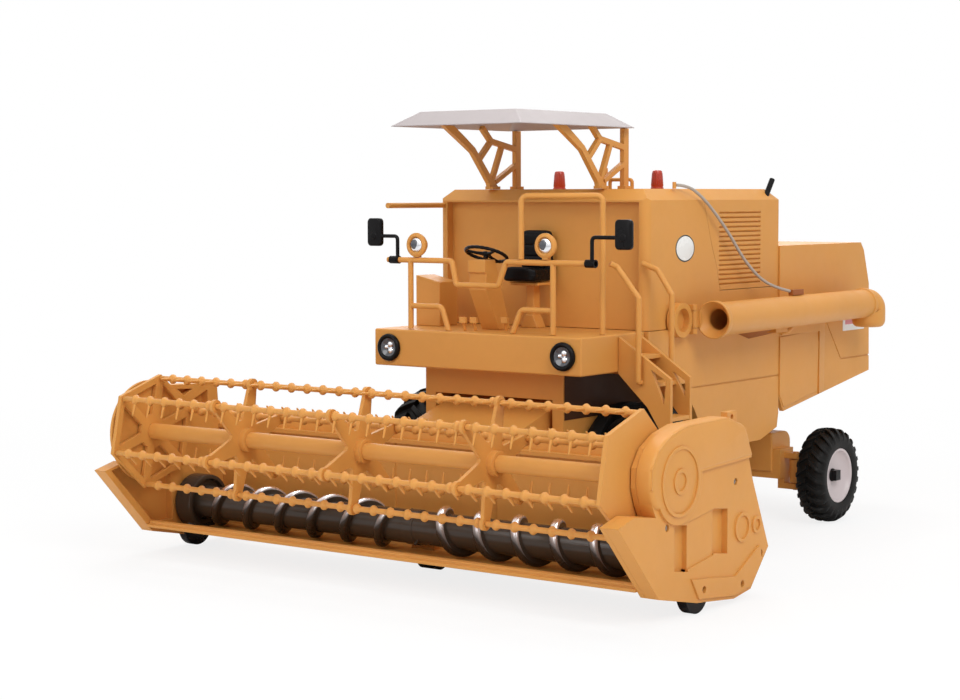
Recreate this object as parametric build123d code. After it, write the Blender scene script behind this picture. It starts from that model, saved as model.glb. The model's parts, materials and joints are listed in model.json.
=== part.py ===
from build123d import *
import math
import os

# Scale model of a combine harvester, about 1:16, in millimetres.
# Y = 0 is the front axle while modelling, -Y is the header end, +X the machine's left, Z = 0 the floor.

# driving dimensions
header_width = 290.0
divider_tip_y = -154.0
hood_rear_y = 224.0

wheel_base = 150.6
front_wheel_radius = 36.9
front_wheel_width = 24.0
front_wheel_outer_x = 74.3
front_rim_radius = 21.0
rear_wheel_radius = 24.3
rear_wheel_width = 15.5
rear_wheel_outer_x = 82.0
rear_rim_radius = 14.1
axle_radius = 2.5
running_gap = 0.06
seat_gap = 0.25
touch = 0.05

body_half = 61.0
nose_half = 39.5
nose_y = -40.0
body_bottom_z = 46.0
body_top_z = 106.0
body_rear_y = 121.7
arch_radius = 49.0
tail_z = 52.0

tank_half = 60.2
tank_front_y = -2.3
tank_rear_y = 121.7
deck_z = 122.5
roof_z = 171.6
roof_chamfer = 5.3
front_recess = 4.5
recess_half = 55.5
corner_radius = 3.5

louvre_count = 16
louvre_pitch = 2.3
louvre_front_y = 62.5
louvre_rear_y = 103.3
louvre_top_z = 161.0

hood_half = 61.2
hood_top_z = 143.0
hood_wall = 2.2

platform_half = 59.0
platform_front_y = -54.5
platform_bottom_z = 88.8
platform_top_z = 106.1

rail_radius = 1.3
rail_y = -50.0
rail_z = 138.6
hoop_z = 168.5
low_rail_z = 117.2

canopy_half = 37.5
canopy_front_y = -69.0
canopy_rear_y = 23.5
canopy_rim_z = 200.2
canopy_rise = 6.8
canopy_inset = 10.0
canopy_thickness = 1.5
bracket_x = 31.5
bracket_thickness = 2.4

tube_x = 75.0
tube_z = 110.3
tube_rise = 1.0
tube_radius = 7.9
tube_wall = 1.3
tube_bore_radius = tube_radius - tube_wall
tube_front_y = 32.0
tube_rear_y = 190.0
tube_collar_radius = 9.0
ring_radius = 8.2
ring_bore_radius = 5.5
hinge_x = 65.0
hinge_y = 31.5
hinge_pin_radius = 0.9

header_pivot_y = -33.0
header_pivot_z = 69.0
trunnion_radius = 2.2
feeder_half = 31.0
header_back_y = -74.0
header_back_top_z = 66.0
header_floor_z = 11.0
floor_thickness = 1.6
knife_y = -125.2
knife_z = 13.2
wall = 2.4
cover_depth = 10.6
far_wall = 7.0
relief = 0.8

reel_y = -127.0
reel_z = 58.9
reel_circle = 25.0
reel_first_angle = 41.9
reel_bars = 6
reel_tube_radius = 3.7
reel_shaft_radius = 2.2
reel_bar_radius = 1.3
reel_frame_thickness = 2.0
spider_hub_radius = 9.5
tine_pitch = 9.3
tine_count = 28
tine_first_x = -125.55
tine_length = 8.0
tine_width = 1.2
bead_radius = 2.1
bead_width = 2.4
tine_lean = 23.0

auger_y = -97.0
auger_z = 22.3
auger_radius = 10.4
auger_tube_radius = 6.8
auger_flight_thickness = 2.4
auger_pitch = 20.0
auger_drum_radius = 13.2
auger_drum_end_x = -127.5
auger_gap_half = 11.5
auger_shaft_radius = 2.5

roller_radius = 9.0
roller_y = -93.0
roller_x = 139.2
far_roller_x = -141.1
roller_width = 4.4
roller_pin_radius = 1.5
middle_roller_radius = 5.2
middle_roller_y = -82.0
middle_roller_z = 6.4
middle_roller_x = -3.0
middle_roller_width = 10.0

kingpin_x = 56.0
kingpin_radius = 1.6
tie_arm = 14.0
cord_radius = 0.75

header_half = header_width / 2
header_inner = header_half - cover_depth
far_inner = far_wall - header_half
cover_x = header_inner + wall + touch
ring_y = hinge_y - (tube_x - hinge_x)
ring_face_x = hinge_x + tube_front_y - hinge_y - 0.3
origin_y = (divider_tip_y + hood_rear_y) / 2
rear_axle_y = wheel_base
rear_axle_z = rear_wheel_radius


# helpers
def block(x0, x1, y0, y1, z0, z1):
    return Pos((x0 + x1) / 2, (y0 + y1) / 2, (z0 + z1) / 2) * Box(x1 - x0, y1 - y0, z1 - z0)


# an outline of (y, z) points made into a plate from x0 to x1
def side_plate(points, x0, x1):
    face = Plane.YZ.offset(x0) * make_face(Polyline(*points, close=True))
    return extrude(face, x1 - x0, dir=(1, 0, 0))


# an outline of (x, z) points made into a plate from y0 to y1
def front_plate(points, y0, y1):
    corners = [(x, y0, z) for x, z in points]
    return extrude(make_face(Polyline(*corners, close=True)), y1 - y0, dir=(0, 1, 0))


# an outline of (x, y) points made into a plate from z0 to z1
def flat_plate(points, z0, z1):
    corners = [(x, y, z0) for x, y in points]
    return extrude(make_face(Polyline(*corners, close=True)), z1 - z0, dir=(0, 0, 1))


def rod(start, end, radius):
    start, end = Vector(*start), Vector(*end)
    along = end - start
    return extrude(Plane(origin=start, z_dir=along) * Circle(radius), along.length)


# a round bar bent through the points, with the same bend radius at every corner
def pipe(points, radius, bend):
    path = FilletPolyline(*points, radius=bend)
    return sweep(Plane(origin=path @ 0, z_dir=path % 0) * Circle(radius), path)


def disc_x(y, z, radius, x0, x1):
    return rod((x0, y, z), (x1, y, z), radius)


# a solid turned about an axle along X, from an outline of (x, radius) points
def turned_x(profile, y, z):
    corners = [(x, y, z + r) for x, r in profile]
    return revolve(make_face(Polyline(*corners, close=True)), Axis((0, y, z), (1, 0, 0)))


# a strip of one width between two (y, z) points, from x0 to x1
def strut_x(start, end, width, x0, x1):
    (y0, z0), (y1, z1) = start, end
    along = math.hypot(y1 - y0, z1 - z0)
    ny, nz = -(z1 - z0) / along * width / 2, (y1 - y0) / along * width / 2
    corners = [(y0 + ny, z0 + nz), (y1 + ny, z1 + nz), (y1 - ny, z1 - nz), (y0 - ny, z0 - nz)]
    return side_plate(corners, x0, x1)


def joined(pieces):
    whole = pieces[0]
    for piece in pieces[1:]:
        whole = whole + piece
    return whole


def without(shape, cutters):
    for cutter in cutters:
        shape = shape - cutter
    return shape


def write(shape, name):
    moved = [Pos(0, -origin_y, 0) * solid for solid in shape.solids()]
    export_step(moved[0] if len(moved) == 1 else Compound(children=moved), f"parts/{name}.step")
    print(name, len(moved))


def both_sides(shape):
    return Compound(children=[shape, mirror(shape, Plane.YZ)])


# chassis
def lower_body():
    nose = block(-nose_half, nose_half, nose_y, 45, body_bottom_z, platform_bottom_z - seat_gap)
    arch_top = arch_radius + front_wheel_radius - 6
    front_arch_y = 34.7
    outline = [
        (tank_front_y, body_top_z),
        (tank_front_y, arch_top),
        (front_arch_y, arch_top),
        (front_arch_y, body_bottom_z),
        (103, body_bottom_z),
        (body_rear_y - 1.5, 51),
        (body_rear_y, 58),
        (body_rear_y, body_top_z),
    ]
    rear = side_plate(outline, -body_half, body_half)
    tail = block(-20, 20, body_rear_y - 10, rear_axle_y + 9, tail_z, tail_z + 5)
    arches = both_sides(disc_x(0, front_wheel_radius, arch_radius, nose_half, body_half + 1))
    groove_depth, groove_z = 0.5, 77.0
    groove = block(body_half - groove_depth, body_half + 1, 36, body_rear_y + 1, groove_z, groove_z + 0.7)
    mouth_half = feeder_half + 2.5
    mouth = block(-mouth_half, mouth_half, nose_y - 1, nose_y + 18, body_bottom_z - 1, 76)
    reach = nose_half - 2
    bores = disc_x(header_pivot_y, header_pivot_z, trunnion_radius + running_gap, -reach, reach)
    return without(nose + rear + tail, [arches, mouth, bores, groove, mirror(groove, Plane.YZ)])


def straw_hood():
    front = tank_rear_y + seat_gap
    outer = [
        (front, hood_top_z),
        (front, 66),
        (126.5, 58.5),
        (173.7, 65.7),
        (hood_rear_y - 0.3, 73),
        (hood_rear_y - 1.4, 120.6),
        (hood_rear_y - 7.8, hood_top_z - 4.2),
        (hood_rear_y - 11.5, hood_top_z),
    ]
    inner = [
        (front + hood_wall, hood_top_z - hood_wall),
        (front + hood_wall, 50),
        (hood_rear_y - hood_wall, 60),
        (hood_rear_y - 1.4 - hood_wall, 120),
        (hood_rear_y - 9.6, hood_top_z - 5.4),
        (hood_rear_y - 12.5, hood_top_z - hood_wall),
    ]
    shell = side_plate(outer, -hood_half, hood_half)
    shell = shell - side_plate(inner, -hood_half + hood_wall, hood_half - hood_wall)
    panel = [(front, 96.6), (161.5, 98.1), (163.9, 91.6), (162.2, 66), (126.5, 60.5), (front, 67)]
    panel_height = 0.45
    raised = side_plate(panel, hood_half, hood_half + panel_height)
    shell = shell + raised + mirror(raised, Plane.YZ)
    groove_width, groove_depth = 0.8, 0.5
    for start, end in (((171.7, 103.5), (189.8, 81.4)), ((189.6, 81.4), (hood_rear_y + 1, 81.4))):
        groove = strut_x(start, end, groove_width, hood_half - groove_depth, hood_half + 1)
        shell = without(shell, [groove, mirror(groove, Plane.YZ)])
    return shell


# the seam between tank and engine cover, as (y, z) points from the roof down
roof_seam = [
    (46.4, roof_z),
    (47.7, roof_z - roof_chamfer),
    (55.4, 144.5),
    (60.5, 133.4),
    (63.6, deck_z),
]


def roof_edges(y0, y1):
    edge = [
        (tank_half, roof_z - roof_chamfer),
        (tank_half + 1, roof_z - roof_chamfer),
        (tank_half + 1, roof_z + 1),
        (tank_half - roof_chamfer, roof_z + 1),
        (tank_half - roof_chamfer, roof_z),
    ]
    return both_sides(front_plate(edge, y0, y1))


def grain_tank():
    outline = [
        (tank_front_y, body_top_z + seat_gap),
        (tank_rear_y, body_top_z + seat_gap),
        (tank_rear_y, deck_z),
        *reversed(roof_seam),
        (tank_front_y + roof_chamfer, roof_z),
        (tank_front_y, roof_z - roof_chamfer),
    ]
    tank = side_plate(outline, -tank_half, tank_half)
    plan = Pos(0, (tank_front_y + tank_rear_y) / 2) * Rectangle(2 * tank_half, tank_rear_y - tank_front_y)
    front_corners = plan.vertices().group_by(Axis.Y)[0]
    column = extrude(Pos(0, 0, body_top_z) * fillet(front_corners, corner_radius), roof_z - body_top_z)
    tank = (tank & column) - roof_edges(tank_front_y - 1, tank_rear_y)
    recess_rear_y = tank_front_y + front_recess
    recess_top_z = roof_z - roof_chamfer - 0.8
    recess = block(-recess_half, recess_half, tank_front_y - 1, recess_rear_y, body_top_z, recess_top_z)
    hopper = block(-24, 24, 8, 36, 132, roof_z + 1)
    return without(tank, [recess, hopper])


def engine_cover():
    outline = [
        *((y + seat_gap, z) for y, z in roof_seam[:-1]),
        (roof_seam[-1][0] + seat_gap, deck_z + seat_gap),
        (tank_rear_y, deck_z + seat_gap),
        (tank_rear_y, roof_z - roof_chamfer),
        (tank_rear_y - roof_chamfer, roof_z),
    ]
    cover = side_plate(outline, -tank_half, tank_half) - roof_edges(30, tank_rear_y + 1)
    depth, slot_height = 1.1, 1.3
    for index in range(louvre_count):
        z = louvre_top_z - slot_height - index * louvre_pitch
        slot = [(tank_half + 0.5, z), (tank_half - depth, z), (tank_half + 0.5, z + slot_height)]
        louvre = front_plate(slot, louvre_front_y, louvre_rear_y)
        cover = without(cover, [louvre, mirror(louvre, Plane.YZ)])
    return cover


def platform():
    rear_y = tank_front_y - seat_gap
    return block(-platform_half, platform_half, platform_front_y, rear_y, platform_bottom_z, platform_top_z)


def front_rail():
    z0 = platform_top_z + seat_gap
    top = [
        (-54, rail_y, rail_z),
        (-16, rail_y, rail_z),
        (-13.5, rail_y, rail_z - 11),
        (10.5, rail_y, rail_z - 11),
        (15, rail_y, rail_z),
        (61, rail_y, rail_z),
    ]
    parts = [pipe(top, rail_radius, 1.8)]
    for x in (-40.4, 40.8):
        parts.append(rod((x, rail_y, z0), (x, rail_y, rail_z), rail_radius))
    for outer_x, inner_x, foot_x in ((-40.4, -21.9, -17.8), (40.8, 23.2, 18.2)):
        loop = [(outer_x, rail_y, low_rail_z), (inner_x, rail_y, low_rail_z), (foot_x, rail_y, z0 - 1)]
        parts.append(pipe(loop, rail_radius, 3))
    return joined(parts) - block(-30, 30, rail_y - 3, rail_y + 3, z0 - 3, z0)


def entry_hoop():
    hoop = [
        (23.3, rail_y, rail_z + rail_radius + touch),
        (23.3, rail_y, hoop_z),
        (56, -33, hoop_z),
        (56, -33, platform_top_z + seat_gap),
    ]
    return pipe(hoop, rail_radius, 3)


def ladder_rails():
    front = [(57.9, -30, 138.2), (60, -27.2, 136.4), (71.4, -27.2, 122.8), (71.4, -27.2, 85), (71.4, -25.2, 85)]
    rear = [(58.5, -3.6, 137.5), (66.6, -3.6, 134.6), (74.1, -3.6, 123.6), (74.1, -3.6, 92), (74.1, -5.85, 92)]
    return Compound(children=[pipe(front, rail_radius, 0.9), pipe(rear, rail_radius, 0.9)])


def ladder():
    front = [(59.25, 105), (86.7, 87.3), (86.8, 60.5), (83.5, 60.5), (74.7, 73.9), (59.25, 88.2)]
    front_window = [(76.6, 90.9), (84.4, 86.2), (83.4, 75.5)]
    rear = [(59.25, 105), (86.5, 86.9), (86.6, 66), (84, 66), (74.7, 76.5), (59.25, 89.5)]
    rear_window = [(77.5, 89.2), (84, 85.2), (84, 78)]
    parts = [
        front_plate(front, -25, -23) - front_plate(front_window, -26, -22),
        front_plate(rear, -8, -6) - front_plate(rear_window, -9, -5),
    ]
    for x0, x1, z in ((62, 71, 96), (72, 79.5, 84.3), (78, 86.4, 69)):
        parts.append(block(x0, x1, -24, -7, z - 1, z + 0.8))
    return joined(parts)


def canopy():
    rim = Plane((0, (canopy_front_y + canopy_rear_y) / 2, canopy_rim_z))
    depth = canopy_rear_y - canopy_front_y
    lower = rim * Rectangle(2 * canopy_half, depth)
    upper = rim.offset(canopy_rise) * Rectangle(2 * (canopy_half - canopy_inset), depth - 2 * canopy_inset)
    outer = loft([lower, upper])
    rim_wall, top_wall = 1.5, 1.2
    inner_low = rim.offset(-0.01) * Rectangle(2 * (canopy_half - rim_wall), depth - 2 * rim_wall)
    inner_high = rim.offset(canopy_rise - canopy_thickness) * Rectangle(
        2 * (canopy_half - canopy_inset - top_wall),
        depth - 2 * (canopy_inset + top_wall),
    )
    return outer - loft([inner_low, inner_high])


def canopy_brackets():
    x0, x1 = bracket_x - bracket_thickness / 2, bracket_x + bracket_thickness / 2
    foot_z = roof_z + touch
    main = [
        (-37.5, 201.6),
        (-29.5, 201.6),
        (-20.5, 196.2),
        (-12.9, 191.4),
        (0.8, 177.0),
        (5.6, 172.9),
        (5.6, foot_z),
        (-0.4, foot_z),
        (-1.6, 174.6),
        (-14.8, 189.0),
        (-23, 193.6),
    ]
    post = block(x0, x1, 20.5, 24.5, foot_z, canopy_rim_z - touch)
    struts = (
        ((-6.2, 201.2), (1, 194.8), 2.4),
        ((1, 194.8), (-8.6, 186.0), 2.4),
        ((1, 194.8), (21.5, 191.2), 2.6),
        ((10.1, 193.0), (1.4, 175.2), 2.2),
        ((21.5, 183.6), (4.2, 175.2), 2.2),
    )
    parts = [side_plate(main, x0, x1), post]
    parts += [strut_x(start, end, width, x0, x1) for start, end, width in struts]
    parts.append(block(bracket_x - 2.2, bracket_x + 2.2, -0.4, 6, foot_z, foot_z + 1.4))
    parts.append(block(bracket_x - 2.2, bracket_x + 2.2, 20, 25.5, foot_z, foot_z + 1.4))
    return both_sides(joined(parts))


def beacons():
    z0, height = roof_z + touch, 9.2
    return Compound(children=[Pos(x, 56, z0 + height / 2) * Cone(3.2, 2.4, height) for x in (-29, 29)])


def exhaust_stub():
    stub = rod((57.2, 112.6, 166.5), (57.2, 120.2, 176.4), 1.4)
    return stub - Pos(touch, 0, touch) * engine_cover()


def roof_fittings():
    z0 = roof_z + touch
    hoop = pipe([(12, 40, z0), (12, 40, 176.2), (24.7, 40, 176.2), (24.7, 40, z0)], 0.9, 1.5)
    knob = rod((2.8, 49, z0), (2.8, 49, 179), 1.1) + rod((2.8, 49, 178.6), (2.8, 49, 182), 1.7)
    return Compound(children=[hoop, knob])


def side_bar():
    return rod((-57.6, tank_front_y - touch, 164), (-57.6, -45.9, 164), rail_radius)


# operator's station
def seat():
    edge = 1.4
    cushion = block(-10.5, 8.5, -19, -3, 128, 134.5)
    cushion = fillet(cushion.edges().filter_by(Axis.Y).group_by(Axis.Z)[-1], edge)
    back = block(-9.4, 7.4, -4.5, -1.2, 129, 152)
    back = fillet(back.edges().filter_by(Axis.Y).group_by(Axis.Z)[-1], 3)
    lever = block(-13.4, -11.6, -10, -6, 131, 133.6) + rod((-12.5, -8, 132.3), (-9, -8, 132.3), 0.7)
    return joined([cushion, back, lever])


def seat_pedestal():
    z0 = platform_top_z + touch
    post = block(-3.2, 1.2, -9, -4, z0, 127)
    flare = [(-6, z0), (4, z0), (1.2, z0 + 6), (-3.2, z0 + 6)]
    plate = block(-9, 7, -14, -2.6, 126.3, 127.75)
    return joined([post, front_plate(flare, -10, -3), plate])


def steering_column():
    z0 = platform_top_z + touch
    side = [(-41, 139), (-34, 139), (-22, z0), (-31, z0), (-41, 125)]
    column = side_plate(side, -13, -3)
    dash = block(-13, -3, -42, -40.5, 133, 139)
    return column + dash


def steering_wheel():
    centre = Plane(origin=(-8.1, -34, 141.4), z_dir=(0, 0.40, 1))
    parts = [centre * Torus(9.8, 0.9), centre * Cylinder(2.2, 1.8)]
    for turn in (90, 210, 330):
        parts.append(centre * Rot(0, 0, turn) * Pos(4.8, 0, 0) * Box(9.6, 1.5, 1.1))
    stem = centre * Pos(0, 0, -1.2) * Cylinder(1.1, 1.6)
    return joined(parts + [stem])


def control_console():
    z0 = platform_top_z + touch
    outline = [(-56.5, z0), (-42, z0), (-42, 127.3), (-56.5, 130.5)]
    return front_plate(outline, -26, -12)


def pedals():
    z0 = platform_top_z + touch
    pieces = []
    for x, y in ((-12.5, -46), (-7.9, -44), (4, -36)):
        stem = rod((x, y + 1.5, z0 - 0.6), (x, y, z0 + 5), 0.7)
        pad = block(x - 1.8, x + 1.8, y - 1, y + 0.4, z0 + 3.6, z0 + 6.4)
        pieces.append((stem + pad) & block(-60, 60, -60, 0, z0, 130))
    return Compound(children=pieces)


def headlights():
    lamps = []
    z = (platform_bottom_z + platform_top_z) / 2
    for x in (-49.6, 49.6):
        bezel = rod((x, platform_front_y - touch, z), (x, platform_front_y - 2.2, z), 6.5)
        dish = rod((x, platform_front_y - 1.4, z), (x, platform_front_y - 3, z), 5.3)
        lamps.append(bezel - dish)
    return Compound(children=lamps)


def work_lamps():
    lamps = []
    profile = ((0, -0.8), (4.4, -1.8), (5.7, -1.8), (5.7, 0), (3.4, 3.8), (0, 4.2))
    for x, z in ((-36.4, 145.7), (37.1, 146.2)):
        corners = [(x + r, rail_y + along, z) for r, along in profile]
        case = revolve(make_face(Polyline(*corners, close=True)), Axis((x, rail_y, z), (0, 1, 0)))
        neck = block(x - 1.6, x + 1.6, rail_y - 1.2, rail_y + 1.2, rail_z + rail_radius + touch, z - 3)
        lamps.append(case + neck)
    return Compound(children=lamps)


# each mirror: arm x, top of its arm, clamp from and to, head from and to
mirror_sizes = (
    (-48.3, 149.7, -53.4, -46.1, -66.0, -57.6),
    (61.6, 150.2, 59, 65.6, 74.0, 82.6),
)


def mirrors():
    heads = []
    for arm_x, arm_z, clamp_x0, clamp_x1, head_x0, head_x1 in mirror_sizes:
        clamp = block(clamp_x0, clamp_x1, rail_y - 2.1, rail_y + 2.1, rail_z - 2, rail_z + 2)
        clamp = clamp - disc_x(rail_y, rail_z, rail_radius + touch, -54.1, 61.1)
        reach = (head_x0 + head_x1) / 2
        arm = pipe([(arm_x, rail_y, rail_z + 1.6), (arm_x, rail_y, arm_z), (reach, rail_y, arm_z)], 0.9, 1.5)
        head = block(head_x0, head_x1, rail_y - 1.3, rail_y + 1.3, 144.9, 158.1)
        head = fillet(head.edges().filter_by(Axis.Y), 2)
        heads.append(joined([clamp, arm, head]))
    return Compound(children=heads)


# unloading tube
def tank_outlet():
    ring = disc_x(ring_y, tube_z, ring_radius, body_half + touch, ring_face_x)
    return ring - disc_x(ring_y, tube_z, ring_bore_radius, body_half + 0.8, ring_face_x + 1)


def tube_axis(radius, y0, y1):
    slope = tube_rise / (tube_rear_y - tube_front_y)
    z0, z1 = tube_z + slope * (y0 - tube_front_y), tube_z + slope * (y1 - tube_front_y)
    return rod((tube_x, y0, z0), (tube_x, y1, z1), radius)


def unloading_tube():
    barrel = tube_axis(tube_radius, tube_front_y, tube_rear_y)
    collar = rod((tube_x, tube_front_y, tube_z), (tube_x, tube_front_y + 3.4, tube_z), tube_collar_radius)
    boot = block(tube_x - 8, tube_x + 8, tube_rear_y - 1, tube_rear_y + 10, tube_z - 11.8, tube_z + 10.1)
    boot = fillet(boot.edges().filter_by(Axis.Y), 4.5)
    boot = chamfer(boot.edges().group_by(Axis.Y)[-1], 1.6)
    chute = block(tube_x - 6.4, tube_x + 6.4, tube_rear_y + 0.6, tube_rear_y + 8.4, tube_z - 12.8, tube_z + 6)
    eye = rod((hinge_x, hinge_y, tube_z - 4), (hinge_x, hinge_y, tube_z + 4), 1.5)
    web = block(hinge_x, tube_x - tube_radius + 0.9, tube_front_y, tube_front_y + 6, tube_z - 4, tube_z + 4)
    bore = tube_axis(tube_bore_radius, tube_front_y - 1, tube_rear_y + 3)
    mouth = Plane(origin=(tube_x, tube_front_y, tube_z), z_dir=(0, 1, 0)) * Pos(0, 0, 1.9)
    funnel = mouth * Cone(tube_collar_radius - 0.9, tube_bore_radius - 0.5, 4)
    pin_radius = hinge_pin_radius + running_gap
    pin_bore = rod((hinge_x, hinge_y, tube_z - 5), (hinge_x, hinge_y, tube_z + 5), pin_radius)
    return without(joined([barrel, collar, boot, eye, web]), [bore, funnel, chute, pin_bore])


def tube_hinge():
    x0 = body_half + touch
    half, ear_from, ear_to = 7.0, 4.2, 7.0
    parts = [rod((hinge_x, hinge_y, tube_z - half), (hinge_x, hinge_y, tube_z + half), hinge_pin_radius)]
    for z0, z1 in ((tube_z - ear_to, tube_z - ear_from), (tube_z + ear_from, tube_z + ear_to)):
        parts.append(block(x0, hinge_x, hinge_y - 1.6, hinge_y + 1.6, z0, z1))
        parts.append(rod((hinge_x, hinge_y, z0), (hinge_x, hinge_y, z1), 1.6))
    return joined(parts)


def tube_rest():
    top = tube_z - tube_radius + 3.2
    saddle = block(body_half + touch, tube_x - 6, 104, 116, top - 5.5, top)
    return saddle - tube_axis(tube_radius + touch, 90, 130)


def cord_clip():
    clip = block(tube_x - 1.3, tube_x + 1.3, 107.6, 119.2, tube_z + tube_radius - 1, tube_z + tube_radius + 3.4)
    return clip - tube_axis(tube_radius + touch, 90, 130)


def cord_hook():
    return rod((56.5, 27, roof_z + touch), (56.5, 27, roof_z + 3.2), 0.9)


def pull_cord():
    points = [
        (56.5, 28.3, 173.4),
        (59.5, 34, 173.2),
        (62.6, 42, 168),
        (64, 53, 159.5),
        (65, 65, 149),
        (66, 76, 137.5),
        (68.2, 88, 127.8),
        (71.6, 98.5, 122.8),
        (74.6, 107.4, 120.9),
    ]
    radii = []
    for a, b, c in zip(points, points[1:], points[2:]):
        first, second = Vector(*b) - Vector(*a), Vector(*c) - Vector(*b)
        turn = math.radians(first.get_angle(second))
        radii.append(0.45 * min(first.length, second.length) / math.tan(turn / 2))
    path = FilletPolyline(*points, radius=radii)
    print("cord bends", [round(r, 1) for r in radii], "length", round(path.length, 1))
    return sweep(Plane(origin=path @ 0, z_dir=path % 0) * Circle(cord_radius), path)


# wheels and axles
def tyre(outer_x, width, radius, rim_radius, y, z):
    x0, x1 = outer_x - width, outer_x
    shoulder = width * 0.14
    bulge = rim_radius + (radius - rim_radius) * 0.4
    profile = [
        (x0 + 0.8, rim_radius),
        (x0, bulge),
        (x0 + shoulder * 0.5, radius - 2.5),
        (x0 + shoulder, radius - 0.6),
        (x0 + 2 * shoulder, radius),
        (x1 - 2 * shoulder, radius),
        (x1 - shoulder, radius - 0.6),
        (x1 - shoulder * 0.5, radius - 2.5),
        (x1, bulge),
        (x1 - 0.8, rim_radius),
    ]
    return turned_x(profile, y, z)


def rim(outer_x, width, rim_radius, y, z, shaft_radius):
    x0, x1 = outer_x - width, outer_x
    flange = rim_radius - 0.02
    bore = shaft_radius + running_gap
    profile = [
        (x0 + 1.2, bore),
        (x0 + 1.2, bore + 4),
        (x0 + 4, bore + 4),
        (x0 + 4, flange - 2),
        (x0 + 1.2, flange - 1.2),
        (x0 + 1.2, flange),
        (x1 - 1.2, flange),
        (x1 - 1.2, flange - 1.4),
        (x1 - 4, flange - 2.4),
        (x1 - 4, bore + 4),
        (x1 - 1.5, bore + 3.4),
        (x1 - 1.5, bore),
    ]
    return turned_x(profile, y, z)


def front_axle():
    z = front_wheel_radius
    casing = disc_x(0, z, 6, -nose_half - 6, nose_half + 6)
    shaft_half = front_wheel_outer_x - 1.5
    shaft = disc_x(0, z, axle_radius, -shaft_half, shaft_half)
    saddle = block(-20, 20, -5, 5, z, body_bottom_z - touch)
    return joined([casing, shaft, saddle])


def rear_axle_beam():
    y, z = rear_axle_y, rear_axle_z
    beam = block(-kingpin_x + 5.5, kingpin_x - 5.5, y - 7, y + 7, z - 3.5, z + 12)
    post = block(-18, 18, y - 8, y + 8, z + 12, tail_z - touch)
    whole = beam + post
    for side in (-1, 1):
        x, ear_x = side * kingpin_x, side * (kingpin_x - 7)
        neck_x, root_x = side * (kingpin_x - 5.5), side * (kingpin_x - 9)
        for z0, z1 in ((z + 7, z + 10), (z - 9, z - 6)):
            whole = whole + block(min(x, ear_x), max(x, ear_x), y - 3, y + 3, z0, z1)
            whole = whole + rod((x, y, z0), (x, y, z1), 3)
        whole = whole + block(min(neck_x, root_x), max(neck_x, root_x), y - 3, y + 3, z - 9, z)
        whole = whole - rod((x, y, z - 10), (x, y, z + 13), kingpin_radius + running_gap)
    return whole


def knuckle(side):
    x, y, z = side * kingpin_x, rear_axle_y, rear_axle_z
    pin = rod((x, y, z - 9.5), (x, y, z + 10.5), kingpin_radius)
    barrel = rod((x, y, z - 5.5), (x, y, z + 6.5), 3.4)
    stub_x = side * (rear_wheel_outer_x - 1.5)
    stub = disc_x(y, z, axle_radius, min(x, stub_x), max(x, stub_x))
    arm = block(x - 1.8, x + 1.8, y, y + tie_arm + 2, z - 5.5, z - 3.3)
    eye = rod((x, y + tie_arm, z - 5.5), (x, y + tie_arm, z - 0.5), 1.2)
    return joined([pin, barrel, stub, arm, eye])


def tie_rod():
    y, z = rear_axle_y + tie_arm, rear_axle_z
    bar = block(-kingpin_x, kingpin_x, y - 1.2, y + 1.2, z - 3, z - 1)
    for side in (-1, 1):
        eye = rod((side * kingpin_x, y, z - 3), (side * kingpin_x, y, z - 1), 2.6)
        bar = bar + eye - rod((side * kingpin_x, y, z - 4), (side * kingpin_x, y, z), 1.2 + running_gap)
    return bar


# header
# outline of the near end as (y, z) points: the pointed divider first, then up and round the wall
divider = [(divider_tip_y, 42.4), (-142, 45.5), (-127, 43.5)]
near_back = [
    (-73.6, 78),
    (-58.7, 72.5),
    (-50.8, 49.9),
    (-37, 20),
    (-52, 4),
    (-66, 2),
    (-96, 5),
    (-124.5, 10.8),
]
near_outline = divider + [(-129.5, 48), (-132, 55), (-131.6, 63), (-126.5, 70), (-117, 75), (-105, 77.6)] + near_back
far_outline = divider + [(-131, 60), (-121, 79.6), (-80, 78), (-79, 66), (-60, 62)] + near_back[2:]


def header_trough():
    floor = [
        (knife_y + 3.2, header_floor_z + 3.6),
        (auger_y - 1, header_floor_z),
        (-85, header_floor_z),
        (header_back_y - 2.4, header_floor_z + 4),
        (header_back_y - 2.4, header_back_top_z),
        (header_back_y, header_back_top_z),
        (header_back_y, header_floor_z + 2.4),
        (-84, header_floor_z - floor_thickness),
        (auger_y - 1, header_floor_z - floor_thickness),
        (knife_y + 3.2, header_floor_z + 3.6 - floor_thickness),
    ]
    x0, x1 = far_inner + touch, header_inner - touch
    trough = side_plate(floor, x0, x1)
    ledge = block(x0, x1, header_back_y - 5.2, header_back_y - 2.4, 56, 58)
    opening = block(-feeder_half + 2, feeder_half - 2, header_back_y - 6, header_back_y + 2, 20, 56)
    reach = auger_drum_radius - 4
    drum_slot = block(x0 - 1, auger_drum_end_x + 0.8, auger_y - reach, auger_y + reach, 0, header_floor_z + 2)
    half, side, room = middle_roller_width / 2, 0.8, middle_roller_radius + 0.7
    y, z, x = middle_roller_y, middle_roller_z, middle_roller_x
    hump = block(x - half - side - 0.6, x + half + side + 0.6, y - room - 1, y + room + 1, z - 1, z + room + 1)
    pocket = block(x - half - 0.6, x + half + 0.6, y - room, y + room, -1, z + room)
    under_z = header_floor_z - floor_thickness
    under = block(x - half - 3, x + half + 3, y - room - 2, y - 2.2, -1, under_z)
    behind = block(x - half - 3, x + half + 3, y + 2.2, y + room + 2, -1, under_z)
    pin = disc_x(y, z, roller_pin_radius, x - half - side, x + half + side)
    return without(trough + ledge + hump, [opening, pocket, under, behind, drum_slot]) + pin


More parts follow.
